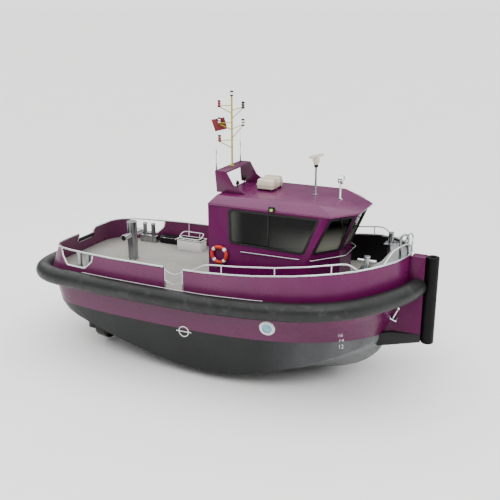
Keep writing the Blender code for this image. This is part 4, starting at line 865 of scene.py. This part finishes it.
# hand rails on the wheelhouse
# 25 mm stainless tube on welded stand-offs, along each wall and round the front under the windows.
for side, s in (("starboard", -1), ("port", 1)):
    pipe("wall_rail_" + side, [(1.18, s * 1.36, 2.452), (1.20, s * 1.42, 2.452), (3.02, s * 1.42, 2.462),
                               (3.04, s * 1.36, 2.462)], 0.014, stainless, bend=0.03)
    feet = bmesh.new()
    for x in (1.5, 2.1, 2.7):
        bar(feet, (x, s * 1.352, 2.45), (x, s * 1.415, 2.452), 0.014, 0.014)
    finish("wall_rail_feet_" + side, feet, stainless, recalc=True)
around = [(3.34, -1.355), (3.36, -1.42), (4.10, -0.50), (4.10, 0.50), (3.36, 1.42), (3.34, 1.355)]
pipe("front_rail", [(x, y, 2.46) for x, y in around], 0.014, stainless, bend=0.05)
feet = bmesh.new()
for x, y, dx, dy in ((3.70, -0.997, -0.07, 0.055), (4.10, -0.3, -0.14, 0), (4.10, 0.3, -0.14, 0),
                     (3.70, 0.997, -0.07, -0.055)):
    bar(feet, (x, y, 2.46), (x + dx, y + dy, 2.458), 0.014, 0.014)
finish("front_rail_feet", feet, stainless, recalc=True)

# wipers
# Pantograph wipers hang from the eaves over the front and corner windows: black arms and rubber blades.
for name, m, reach, lean in (
        ("starboard", facing((3.33 + RISE, -1.35, HEAD), (0.62, 0.80, 0), (RISE, 0, HEAD - SILL)), 0.42, 24.0),
        ("port", facing((3.95 + RISE * 0.9, 0.55 + RISE * 0.13, HEAD), (-0.62, 0.80, 0), (RISE, 0, HEAD - SILL)), 0.42,
         -24.0),
        ("front", front @ Matrix.Translation((0, tall, 0)), 0.10, 14.0)):
    wiper = bmesh.new()
    pivot = Vector((reach, -0.045, 0.030))
    swing = Matrix.Rotation(math.radians(lean), 3, "Z")
    tip = pivot + swing @ Vector((0, -0.52, 0.0))
    disc(wiper, Matrix.Translation(pivot), 0.030, -0.030, 0.024, 24)
    bar(wiper, pivot + Vector((-0.010, 0, 0.012)), tip + Vector((-0.010, 0, 0.006)), 0.012, 0.012, 0.009, 0.009)
    bar(wiper, pivot + Vector((0.014, 0, 0.012)), tip + Vector((0.014, 0, 0.006)), 0.008, 0.008)
    bar(wiper, tip + Vector((0, 0.24, -0.010)), tip + Vector((0, -0.26, -0.010)), 0.020, 0.012)
    bmesh.ops.transform(wiper, matrix=m, verts=wiper.verts)
    finish("wiper_" + name, wiper, epdm, recalc=True)

# aft door
# Steel door with a small light, on two welded hinges at its starboard edge and a lever handle.
leaf = skin("wheelhouse_door")
soften(leaf, 0.004, 60.0)
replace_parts(finish("door_leaf", leaf, purple, "wheelhouse_door", angle=30.0), "wheelhouse_door")
back = facing((0.12, -0.36, 1.32), (0, -1, 0), (0, 0, 1))
gasket("door_light_channel", [(-0.575, 1.115), (-0.145, 1.115), (-0.145, 1.715), (-0.575, 1.715)], 0.085, back, 0.05,
       "wheelhouse_door", 0.012)
pane = bmesh.new()
block(pane, (0.136, -0.36 + 0.175, 2.465), (0.144, -0.36 + 0.545, 3.005), 0.002, 1)
finish("door_light_pane", pane, tinted, "wheelhouse_door", recalc=True)
lever = bmesh.new()
disc(lever, Matrix.Translation((0.12, 0.285, 2.30)) @ Matrix.Rotation(-math.pi / 2, 4, "Y"), 0.026, 0.0, 0.012, 24)
disc(lever, Matrix.Translation((0.12, 0.285, 2.30)) @ Matrix.Rotation(-math.pi / 2, 4, "Y"), 0.010, 0.0, 0.045, 16)
bar(lever, (0.078, 0.285, 2.30), (0.078, 0.16, 2.295), 0.016, 0.012, bevel=0.004)
finish("door_lever", lever, stainless, "wheelhouse_door", recalc=True)

# inside the wheelhouse
# Rubber-tiled floor, a black helm console with screens, wheel and levers, and a sprung helm seat.
console = skin("wheelhouse_floor")
soften(console, 0.010, 60.0)
for f in console.faces:
    if f.calc_center_median().z > 1.575:
        f.material_index = 1
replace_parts(finish("floor_and_console", console, [lining, moulded_black], angle=30.0), "wheelhouse_floor")
screen_glass, shader = start("display_glass_dark", IOR=1.5, Coat_Weight=1.0, Coat_Roughness=0.03)
join(screen_glass, blend(screen_glass, speckle(screen_glass, 6.0, 0.0, 1.0), "0A0E12", "16242C"),
     shader.inputs["Base Color"])
join(screen_glass, speckle(screen_glass, 9.0, 0.08, 0.16), shader.inputs["Roughness"])
slope = facing((3.235, 0, 2.46), (0, -1, 0), (0.37, 0, 0.12))
for i, y in enumerate((-0.48, -0.16, 0.16, 0.48)):
    bezel = bmesh.new()
    block(bezel, (y - 0.14, -0.10, 0.001), (y + 0.14, 0.12, 0.016), 0.005)
    bmesh.ops.transform(bezel, matrix=slope, verts=bezel.verts)
    finish(f"helm_display_{i}", bezel, moulded_black, recalc=True)
    glass = bmesh.new()
    block(glass, (y - 0.125, -0.085, 0.0155), (y + 0.125, 0.105, 0.018), 0.001, 1)
    bmesh.ops.transform(glass, matrix=slope, verts=glass.verts)
    finish(f"helm_display_glass_{i}", glass, screen_glass, recalc=True)
wheel = bmesh.new()
tilt = Matrix.Translation((2.93, 0, 2.38)) @ Matrix.Rotation(math.radians(-72), 4, "Y")
turned(wheel, [(0.19 + 0.013 * math.cos(a), 0.013 * math.sin(a)) for a in
               [2 * math.pi * q / 12 for q in range(13)]], tilt, 40)
disc(wheel, tilt, 0.035, -0.02, 0.014, 28)
for i in range(3):
    spoke = Matrix.Rotation(2 * math.pi * i / 3, 4, "Z")
    bar(wheel, tilt @ spoke @ Vector((0.03, 0, 0)), tilt @ spoke @ Vector((0.182, 0, 0)), 0.018, 0.008)
finish("helm_wheel", wheel, moulded_black, recalc=True)

# upholstery: black vinyl over foam, crowned cushions with rounded edges
vinyl, shader = start("vinyl_upholstery_black", IOR=1.5, Sheen_Weight=0.1)
join(vinyl, blend(vinyl, speckle(vinyl, 6.0, 0.0, 1.0), "1E2022", "2A2C2F"), shader.inputs["Base Color"])
join(vinyl, speckle(vinyl, 12.0, 0.42, 0.55), shader.inputs["Roughness"])
# the grain of the vinyl is about 1 mm; it is drawn at 5 mm
relief(vinyl, shader, add(vinyl, "TexVoronoi", {"Vector": add(vinyl, "TexCoord").outputs["Object"], "Scale": 200.0}
                          ).outputs["Distance"], 0.15, 0.001)


def cushion(name, centre, size, m, crown):
    """Foam pad: a box subdivided, crowned away from its base and rounded at its edges."""
    bm = bmesh.new()
    verts = bmesh.ops.create_cube(bm, size=1.0)["verts"]
    bmesh.ops.subdivide_edges(bm, edges=list(bm.edges), cuts=7, use_grid_fill=True)
    for v in bm.verts:
        u, w = v.co.x * 2, v.co.y * 2
        soft = (1 - u ** 4) * (1 - w ** 4)
        pinch = 1 - 0.10 * (abs(u) * abs(w)) ** 3
        v.co = Vector((v.co.x * size[0] * pinch, v.co.y * size[1] * pinch,
                       v.co.z * size[2] * (0.62 + 0.38 * soft) + (crown * soft if v.co.z > 0 else 0.0)))
    bmesh.ops.transform(bm, matrix=Matrix.Translation(centre) @ m, verts=bm.verts)
    ob = finish(name, bm, vinyl, recalc=True)
    sub = ob.modifiers.new("soft", "SUBSURF")
    sub.levels = sub.render_levels = 1
    return ob


cushion("helm_seat_cushion", (2.24, 0, 2.13), (0.46, 0.48, 0.10), Matrix.Identity(4), 0.012)
cushion("helm_seat_back", (1.995, 0, 2.50), (0.66, 0.46, 0.10), Matrix.Rotation(math.radians(-82), 4, "Y"), 0.012)
pillar = bmesh.new()
turned(pillar, [(0.0, 1.571), (0.20, 1.571), (0.20, 1.585), (0.06, 1.60), (0.05, 1.62), (0.05, 1.83), (0.036, 1.84),
                (0.036, 2.07), (0.0, 2.07)], Matrix.Translation((2.24, 0, 0)), 40)
block(pillar, (2.06, -0.19, 2.062), (2.42, 0.19, 2.082), 0.006)
bar(pillar, (2.04, 0, 2.075), (1.975, 0, 2.36), 0.07, 0.018, bevel=0.004)
seat_steel = finish("helm_seat_pillar", pillar, moulded_black, recalc=True)
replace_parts(seat_steel, "helm_seat")

# roof
# Folded plate roof with sloping edges all round, in purple enamel that shows the sky.
roof_paint = enamel("two_pack_enamel_purple_roof", "560542", "620A4C", 0.28, gloss=0.5, coat=0.1)
top = skin("wheelhouse_roof")
soften(top, 0.012, 8.0)
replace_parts(finish("roof_plate", top, roof_paint, angle=40.0), "wheelhouse_roof")

# mast arch
# Two purple side plates joined by a top plate, welded to the roof; it carries the light mast.
arch = skin("mast_arch")
soften(arch, 0.010, 50.0)
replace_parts(finish("mast_arch_plate", arch, salted, angle=30.0), "mast_arch")

# light mast
# Yellow steel tube with braced arms fore and aft, each with a navigation lantern at its end.
yellow = enamel("two_pack_enamel_yellow", "938E0C", "A39C12", 0.36, gloss=0.3)
MAST_X, MAST_FOOT = 0.26, 4.6603
# lamp x, lamp z, root of the upper strut, root of the lower strut, lens
ARMS = [(-0.16, 6.50, 6.50, 6.24, "red"), (0.63, 6.50, 6.36, 6.08, "green"), (-0.16, 5.99, 5.99, 5.75, "clear"),
        (0.63, 5.99, 5.80, 5.50, "clear"), (-0.16, 5.46, 5.47, 5.20, "red")]
LENSES = {}
for name, deep, pale in (("red", "7E1418", "B5262B"), ("green", "1F3A2B", "31553D"), ("clear", "E8ECEC", "F6F8F8")):
    # moulded polycarbonate lens: glossy, ribbed by its Fresnel rings
    lens, shader = start("polycarbonate_lens_" + name, IOR=1.58, Coat_Weight=1.0, Coat_Roughness=0.04)
    join(lens, blend(lens, speckle(lens, 10.0, 0.0, 1.0), deep, pale), shader.inputs["Base Color"])
    join(lens, speckle(lens, 12.0, 0.10, 0.2), shader.inputs["Roughness"])
    rings = add(lens, "TexWave", {"Vector": add(lens, "TexCoord").outputs["Object"], "Scale": 22.0},
                bands_direction="Z")
    relief(lens, shader, rings.outputs["Fac"], 0.3, 0.002)
    LENSES[name] = lens
mast = bmesh.new()
turned(mast, [(0.0, 0.0), (0.07, 0.0), (0.07, 0.014), (0.034, 0.030), (0.028, 0.05), (0.027, 2.10), (0.0, 2.10)],
       Matrix.Translation((MAST_X, 0, MAST_FOOT)), 28)
for x, z, up, low, lens in ARMS:
    bar(mast, (MAST_X, 0, up - 0.03), (x, 0, z - 0.060), 0.022, 0.022)
    bar(mast, (MAST_X, 0, low), (x, 0, z - 0.092), 0.022, 0.022)
    disc(mast, Matrix.Translation((x, 0, z)), 0.030, -0.104, -0.094, 20)
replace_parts(finish("light_mast_tube", mast, yellow, recalc=True), "light_mast")
for i, (x, z, lens) in enumerate([(a[0], a[1], a[4]) for a in ARMS] + [(MAST_X, 6.82, "clear")]):
    body = bmesh.new()
    h = 0.08 if i == 5 else 0.10
    for low, high in ((-h + 0.006, -h + 0.042), (-0.012, 0.014), (h - 0.036, h)):
        if i == 5 and low == -0.012:
            continue
        turned(body, [(0.0, low), (0.048, low), (0.050, low + 0.004), (0.050, high - 0.006), (0.046, high), (0.0, high)],
               Matrix.Translation((x, 0, z)), 28)
    finish(f"lantern_body_{i}", body, moulded_black, recalc=True)
    glow = bmesh.new()
    disc(glow, Matrix.Translation((x, 0, z)), 0.043, -h + 0.040, h - 0.034, 28)
    finish(f"lantern_lens_{i}", glow, LENSES[lens], recalc=True)

# flag
# Plain red woven polyester ensign, tied by its hoist to the middle lantern arm and drooping aft.
cloth, shader = start("woven_polyester_red", Sheen_Weight=0.25, Sheen_Roughness=0.5)
at = add(cloth, "TexCoord").outputs["UV"]
threads = add(cloth, "TexWave", {"Vector": at, "Scale": 60.0, "Distortion": 0.3}, bands_direction="X")
cross_threads = add(cloth, "TexWave", {"Vector": at, "Scale": 60.0, "Distortion": 0.3}, bands_direction="Y")
both = add(cloth, "Math", {0: threads.outputs["Fac"], 1: cross_threads.outputs["Fac"]}, operation="MULTIPLY")
base = blend(cloth, speckle(cloth, 7.0, 0.0, 1.0), "6A0616", "7E0C20")
join(cloth, blend(cloth, both.outputs["Value"], base, "520410"), shader.inputs["Base Color"])
join(cloth, speckle(cloth, 30.0, 0.75, 0.9), shader.inputs["Roughness"])
relief(cloth, shader, both.outputs["Value"], 0.3, 0.001)
FLAG = [Vector((-0.47, 0.058, 6.00)), Vector((-0.02, 0.058, 6.10)), Vector((0.08, 0.058, 5.76)),
        Vector((-0.34, 0.058, 5.65))]
flag = bmesh.new()
bmesh.ops.create_grid(flag, x_segments=28, y_segments=20, size=0.5, calc_uvs=True)
uv = flag.loops.layers.uv.verify()
for f in flag.faces:
    for corner in f.loops:
        corner[uv].uv = (corner.vert.co.x + 0.5, corner.vert.co.y + 0.5)
for v in flag.verts:
    a, b = v.co.x + 0.5, v.co.y + 0.5
    spot = FLAG[3].lerp(FLAG[2], a).lerp(FLAG[0].lerp(FLAG[1], a), b)
    away_from_mast = 1.0 - a
    spot.y += 0.018 * away_from_mast * math.sin(9.0 * a + 2.5 * b) + 0.008 * math.sin(5.0 * b + 1.0) * away_from_mast
    v.co = spot
ensign = finish("ensign", flag, cloth)
thick = ensign.modifiers.new("cloth", "SOLIDIFY")
thick.thickness, thick.offset = 0.0016, 0.0
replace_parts(ensign, "flag")

# whip aerials
# Glass-fibre whips on ratchet bases at the ends of the arch, black below and pale above.
for side, s in (("starboard", -1), ("port", 1)):
    foot = Matrix.Translation((0.145, s * 0.82, 4.6603))
    lower = bmesh.new()
    turned(lower, [(0.0, 0.0), (0.018, 0.0), (0.018, 0.10), (0.013, 0.13), (0.012, 0.20), (0.007, 0.22),
                   (0.006, 0.46), (0.011, 0.47), (0.011, 0.60), (0.006, 0.61), (0.0, 0.61)], foot, 20)
    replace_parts(finish("whip_base_" + side, lower, moulded_black, recalc=True), "whip_" + side)
    upper = bmesh.new()
    turned(upper, [(0.0, 0.60), (0.006, 0.60), (0.004, 0.93), (0.002, 0.945), (0.0, 0.948)], foot, 16)
    finish("whip_rod_" + side, upper, coated_white, recalc=True)

# floodlights
# Two black die-cast floodlights on swivel stems in front of the arch.
for i, (y, z, turn) in enumerate(((-0.20, 4.14, 200.0), (0.28, 4.20, 165.0))):
    flood = bmesh.new()
    turned(flood, [(0.0, 4.0205), (0.034, 4.0205), (0.034, 4.030), (0.013, 4.036), (0.013, z - 0.006), (0.024, z),
                   (0.024, z + 0.02), (0.0, z + 0.02)], Matrix.Translation((0.53, y, 0)), 24)
    aim = (Matrix.Translation((0.54, y, z + 0.055)) @ Matrix.Rotation(math.radians(turn), 4, "Z")
           @ Matrix.Rotation(math.radians(80), 4, "Y"))
    turned(flood, [(0.0, -0.05), (0.030, -0.05), (0.052, -0.03), (0.066, 0.015), (0.074, 0.030), (0.074, 0.045),
                   (0.062, 0.045), (0.058, 0.030), (0.0, 0.026)], aim, 32)
    bar(flood, (0.53, y - 0.078, z + 0.06), (0.53, y - 0.078, z), 0.014, 0.008)
    bar(flood, (0.53, y + 0.078, z + 0.06), (0.53, y + 0.078, z), 0.014, 0.008)
    bar(flood, (0.53, y - 0.08, z + 0.004), (0.53, y + 0.08, z + 0.004), 0.014, 0.008)
    piece = finish(f"floodlight_{i}", flood, moulded_black, recalc=True)
    if i == 0:
        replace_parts(piece, "floodlights")

# liferaft
# Canister in two moulded GRP halves, beige gelcoat, strapped in a black cradle on the roof.
gelcoat, shader = start("grp_gelcoat_beige", IOR=1.5, Coat_Weight=0.35, Coat_Roughness=0.2)
join(gelcoat, blend(gelcoat, speckle(gelcoat, 2.5, 0.0, 1.0), "CFC5AE", "DED6C3"), shader.inputs["Base Color"])
join(gelcoat, speckle(gelcoat, 9.0, 0.34, 0.48), shader.inputs["Roughness"])
relief(gelcoat, shader, speckle(gelcoat, 30.0, 0.0, 1.0, clamp=False), 0.06, 0.002)
low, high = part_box("liferaft")
RX0, RX1, RY0, RY1 = low[0] + 0.025, high[0] - 0.025, low[1] + 0.025, high[1] - 0.025
raft = bmesh.new()
for z0, z1, taper in ((4.060, 4.185, 0.965), (4.205, 4.350, 0.93)):
    verts = bmesh.ops.create_cube(raft, size=1.0)["verts"]
    outer = [v for v in verts if (v.co.z < 0) == (z0 < 4.1)]
    bmesh.ops.scale(raft, vec=(taper, taper, 1.0), verts=outer)
    bmesh.ops.scale(raft, vec=(RX1 - RX0, RY1 - RY0, z1 - z0), verts=verts)
    bmesh.ops.translate(raft, vec=((RX0 + RX1) / 2, (RY0 + RY1) / 2, (z0 + z1) / 2), verts=verts)
    upright = [e for v in verts for e in v.link_edges
               if abs(e.verts[0].co.z - e.verts[1].co.z) > 0.1]
    bmesh.ops.bevel(raft, geom=list(set(upright)), offset=0.07, offset_type="OFFSET", affect="EDGES", segments=6,
                    profile=0.5, material=-1)
bmesh.ops.bevel(raft, geom=sharp_edges(raft, 60.0), offset=0.030, offset_type="OFFSET", affect="EDGES", segments=4,
                profile=0.5, material=-1, clamp_overlap=True)
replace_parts(finish("liferaft_canister", raft, gelcoat, recalc=True), "liferaft")
lip = bmesh.new()
verts = block(lip, (RX0 - 0.012, RY0 - 0.012, 4.180), (RX1 + 0.012, RY1 + 0.012, 4.210))
upright = list({e for v in verts for e in v.link_edges if abs(e.verts[0].co.z - e.verts[1].co.z) > 0.01})
bmesh.ops.bevel(lip, geom=upright, offset=0.08, offset_type="OFFSET", affect="EDGES", segments=6, profile=0.5,
                material=-1)
soften(lip, 0.006, 60.0)
finish("liferaft_seam", lip, gelcoat, recalc=True)
cradle = bmesh.new()
for x in (RX0 + 0.08, RX1 - 0.12):
    block(cradle, (x, RY0 + 0.02, 4.0205), (x + 0.04, RY1 - 0.02, 4.068), 0.004)
for y in (RY0 + 0.06, RY1 - 0.10):
    block(cradle, (RX0 + 0.02, y, 4.0205), (RX1 - 0.02, y + 0.04, 4.045), 0.004)
finish("liferaft_cradle", cradle, moulded_black, recalc=True)
# polyester webbing, sand-coloured, with a hydrostatic release buckle
webbing, shader = start("polyester_webbing_sand", Sheen_Weight=0.3)
weave = add(webbing, "TexWave", {"Vector": add(webbing, "TexCoord").outputs["Object"], "Scale": 30.0},
            bands_direction="DIAGONAL")
join(webbing, blend(webbing, weave.outputs["Fac"], "9C8458", "BBA577"), shader.inputs["Base Color"])
join(webbing, speckle(webbing, 20.0, 0.7, 0.85), shader.inputs["Roughness"])
for i, y in enumerate((RY0 + 0.22, RY1 - 0.22)):
    strap = bmesh.new()
    ring = [(RX0 - 0.016, 4.05), (RX0 - 0.016, 4.19), (RX0 + 0.028, 4.352), (RX1 - 0.028, 4.352), (RX1 + 0.016, 4.19),
            (RX1 + 0.016, 4.05)]
    line = [strap.verts.new((x, y, z)) for x, z in ring]
    edges = [strap.edges.new(p) for p in zip(line, line[1:])]
    made = bmesh.ops.extrude_edge_only(strap, edges=edges)["geom"]
    bmesh.ops.translate(strap, vec=(0, 0.04, 0), verts=[g for g in made if isinstance(g, bmesh.types.BMVert)])
    bmesh.ops.solidify(strap, geom=list(strap.faces), thickness=0.003)
    finish(f"liferaft_strap_{i}", strap, webbing, recalc=True)

# radar
# Open-array radar: a galvanised pedestal tube, a white gearbox and a white bar scanner that turns on it.
low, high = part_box("radar_post")
rx, ry = (low[0] + high[0]) / 2, (low[1] + high[1]) / 2
post = bmesh.new()
turned(post, [(0.0, 4.0203), (0.082, 4.0203), (0.082, 4.034), (0.040, 4.044), (0.032, 4.06), (0.032, 4.84),
              (0.0, 4.84)], Matrix.Translation((rx, ry, 0)), 32)
for i in range(4):
    disc(post, Matrix.Translation((rx, ry, 0)) @ Matrix.Rotation(math.pi / 4 + math.pi / 2 * i, 4, "Z")
         @ Matrix.Translation((0.062, 0, 0)), 0.008, 4.034, 4.044, 6)
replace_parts(finish("radar_pedestal", post, galvanised, recalc=True), "radar_post")
collar = bmesh.new()
turned(collar, [(0.0, 4.835), (0.040, 4.835), (0.060, 4.85), (0.060, 4.90), (0.045, 4.925), (0.0, 4.925)],
       Matrix.Translation((rx, ry, 0)), 32)
finish("radar_collar", collar, moulded_black, recalc=True)
box_ = bmesh.new()
turned(box_, [(0.0, 4.92), (0.060, 4.92), (0.074, 4.94), (0.074, 5.00), (0.0, 5.00)], Matrix.Translation((rx, ry, 0)), 32)
block(box_, (rx - 0.09, ry - 0.075, 4.99), (rx + 0.09, ry + 0.075, 5.112), 0.022, 4)
turned(box_, [(0.0, 5.10), (0.036, 5.10), (0.032, 5.119), (0.0, 5.119)], Matrix.Translation((rx, ry, 0)), 28)
finish("radar_gearbox", box_, gelcoat, recalc=True)
scan = bmesh.new()
spin = Matrix.Translation((rx, ry, 5.127)) @ Matrix.Rotation(math.radians(75), 4, "Z")
verts = bmesh.ops.create_cube(scan, size=1.0)["verts"]
bmesh.ops.scale(scan, vec=(0.615, 0.088, 0.078), verts=verts)
bmesh.ops.translate(scan, vec=(0, 0, 0.040), verts=verts)
bmesh.ops.bevel(scan, geom=list(scan.edges), offset=0.018, offset_type="OFFSET", affect="EDGES", segments=4,
                profile=0.5, material=-1)
turned(scan, [(0.0, -0.0065), (0.034, -0.0065), (0.034, 0.010), (0.0, 0.010)], Matrix.Identity(4), 28)
bmesh.ops.transform(scan, matrix=spin, verts=scan.verts)
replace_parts(finish("radar_bar", scan, gelcoat, "radar_scanner", recalc=True), "radar_scanner")

# searchlight
# Chromed brass searchlight on a white post at the front of the roof; the head turns on its yoke.
chrome, shader = start("chrome_plated_brass", Base_Color=srgb("DDE0E2"), Metallic=1.0)
join(chrome, speckle(chrome, 8.0, 0.06, 0.14), shader.inputs["Roughness"])
reflector, shader = start("searchlight_glass_clear", Base_Color=srgb("DFE4E6"), IOR=1.5, Coat_Weight=1.0,
                          Coat_Roughness=0.02, Metallic=0.6)
join(reflector, speckle(reflector, 14.0, 0.10, 0.2), shader.inputs["Roughness"])
low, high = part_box("searchlight_post")
sx, sy = (low[0] + high[0]) / 2, (low[1] + high[1]) / 2
column = skin("searchlight_post")
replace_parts(finish("searchlight_column", column, stainless, angle=50.0), "searchlight_post")
head = bmesh.new()
ahead = Matrix.Translation((sx, sy, 4.54)) @ Matrix.Rotation(math.pi / 2, 4, "Y")
turned(head, [(0.0, -0.088), (0.060, -0.085), (0.105, -0.060), (0.118, -0.010), (0.118, 0.062), (0.125, 0.066),
              (0.125, 0.086), (0.112, 0.088), (0.108, 0.070), (0.0, 0.060)], ahead, 44)
bar(head, (sx, sy - 0.121, 4.54), (sx, sy - 0.121, 4.40), 0.022, 0.007)
bar(head, (sx, sy + 0.121, 4.54), (sx, sy + 0.121, 4.40), 0.022, 0.007)
bar(head, (sx, sy - 0.124, 4.400), (sx, sy + 0.124, 4.400), 0.022, 0.010)
turned(head, [(0.0, 4.3405), (0.022, 4.3405), (0.022, 4.40), (0.0, 4.40)], Matrix.Translation((sx, sy, 0)), 24)
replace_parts(finish("searchlight_housing", head, chrome, "searchlight_head", recalc=True), "searchlight_head")
pane = bmesh.new()
turned(pane, [(0.0, 0.082), (0.06, 0.079), (0.110, 0.070), (0.108, 0.062), (0.0, 0.062)], ahead, 44)
finish("searchlight_lens", pane, reflector, "searchlight_head", recalc=True)

# sidelights
# Black moulded lanterns with green and red lenses, screwed to the roof's edge.
for side, s, lens in (("starboard", -1, "green"), ("port", 1, "red")):
    low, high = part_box("sidelight_" + side)
    lamp = bmesh.new()
    inner, outer = (high[1], low[1]) if s < 0 else (low[1], high[1])
    y0, y1 = sorted((inner, inner + s * 0.030))
    block(lamp, (low[0], y0, low[2]), (high[0], y1, high[2]), 0.012)
    mid = ((low[0] + high[0]) / 2, inner + s * 0.045, 0)
    turned(lamp, [(0.0, low[2]), (0.052, low[2]), (0.055, low[2] + 0.006), (0.055, low[2] + 0.034), (0.0, low[2] + 0.034)],
           Matrix.Translation(mid), 28)
    turned(lamp, [(0.0, high[2] - 0.036), (0.055, high[2] - 0.036), (0.055, high[2] - 0.008), (0.046, high[2]),
                  (0.0, high[2])], Matrix.Translation(mid), 28)
    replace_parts(finish("sidelight_case_" + side, lamp, moulded_black, recalc=True), "sidelight_" + side)
    glow = bmesh.new()
    disc(glow, Matrix.Translation(mid), 0.044, low[2] + 0.032, high[2] - 0.034, 28)
    vivid, shader = start("polycarbonate_lens_bright_" + lens, IOR=1.58, Coat_Weight=1.0, Coat_Roughness=0.04,
                          Emission_Strength=0.6)
    deep, pale = ("5E9A1E", "A8D83A") if s < 0 else ("A01A1A", "D8342C")
    colour = blend(vivid, speckle(vivid, 30.0, 0.0, 1.0), deep, pale)
    join(vivid, colour, shader.inputs["Base Color"])
    join(vivid, colour, shader.inputs["Emission Color"])
    join(vivid, speckle(vivid, 12.0, 0.10, 0.2), shader.inputs["Roughness"])
    finish("sidelight_lens_" + side, glow, vivid, recalc=True)

# life ring
# Orange vinyl-covered foam ring with four white reflective bands, hung flat on the starboard wall.
ring_orange, shader = start("foam_ring_orange", IOR=1.48)
join(ring_orange, blend(ring_orange, speckle(ring_orange, 5.0, 0.0, 1.0), "A81F0C", "C4351A"),
     shader.inputs["Base Color"])
join(ring_orange, speckle(ring_orange, 16.0, 0.4, 0.6), shader.inputs["Roughness"])
relief(ring_orange, shader, speckle(ring_orange, 60.0, 0.0, 1.0, clamp=False), 0.12, 0.002)
tape, shader = start("retroreflective_tape_white", IOR=1.5, Coat_Weight=0.5)
grid = add(tape, "TexVoronoi", {"Vector": add(tape, "TexCoord").outputs["Object"], "Scale": 90.0})
join(tape, blend(tape, grid.outputs["Distance"], "F2F2F0", "D5D8DA"), shader.inputs["Base Color"])
join(tape, speckle(tape, 20.0, 0.25, 0.4), shader.inputs["Roughness"])
low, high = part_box("life_ring")
RING = Matrix.Translation(((low[0] + high[0]) / 2, (low[1] + high[1]) / 2, 2.27)) @ Matrix.Rotation(math.pi / 2, 4, "X")
R, r = 0.235, 0.0545
ring = bmesh.new()
turned(ring, [(R + r * math.cos(a), r * math.sin(a)) for a in [2 * math.pi * q / 20 for q in range(21)]], RING, 64)
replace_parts(finish("life_ring_foam", ring, ring_orange, recalc=True), "life_ring")
for i in range(4):
    band = bmesh.new()
    line = [band.verts.new((R + (r + 0.0025) * math.cos(a), 0, (r + 0.0025) * math.sin(a))) for a in
            [2 * math.pi * q / 20 for q in range(20)]]
    edges = [band.edges.new((line[k], line[(k + 1) % 20])) for k in range(20)]
    bmesh.ops.spin(band, geom=line + edges, cent=(0, 0, 0), axis=(0, 0, 1), dvec=(0, 0, 0),
                   angle=math.radians(19), steps=8)
    bmesh.ops.holes_fill(band, edges=[e for e in band.edges if len(e.link_faces) == 1], sides=0)
    turn = Matrix.Rotation(math.radians(35 + 90 * i), 4, "Z")
    bmesh.ops.transform(band, matrix=RING @ turn, verts=band.verts)
    bmesh.ops.recalc_face_normals(band, faces=band.faces)
    for v in band.verts:
        v.co.y = min(v.co.y, high[1])
    finish(f"life_ring_band_{i}", band, tape, recalc=True)

# propellers, nozzles and rudders
# Cast bronze propellers turn in welded steel ring nozzles; the rudders hang behind them on their stocks.
bronze, shader = start("manganese_bronze_cast", Metallic=1.0)
join(bronze, blend(bronze, speckle(bronze, 7.0, 0.0, 1.0), "9C7038", "B98B4C"), shader.inputs["Base Color"])
join(bronze, speckle(bronze, 12.0, 0.2, 0.36), shader.inputs["Roughness"])
relief(bronze, shader, speckle(bronze, 80.0, 0.0, 1.0, clamp=False), 0.1, 0.001)
for side, s in (("starboard", -1), ("port", 1)):
    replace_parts(finish("propeller_cast_" + side, skin("propeller_" + side), bronze, "propeller_" + side, angle=40.0),
                "propeller_" + side)
    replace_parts(finish("nozzle_ring_" + side, skin("nozzle_" + side), antifouling, angle=40.0), "nozzle_" + side)
    fin = skin("rudder_" + side)
    soften(fin, 0.006, 60.0)
    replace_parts(finish("rudder_blade_" + side, fin, antifouling, "rudder_" + side), "rudder_" + side)
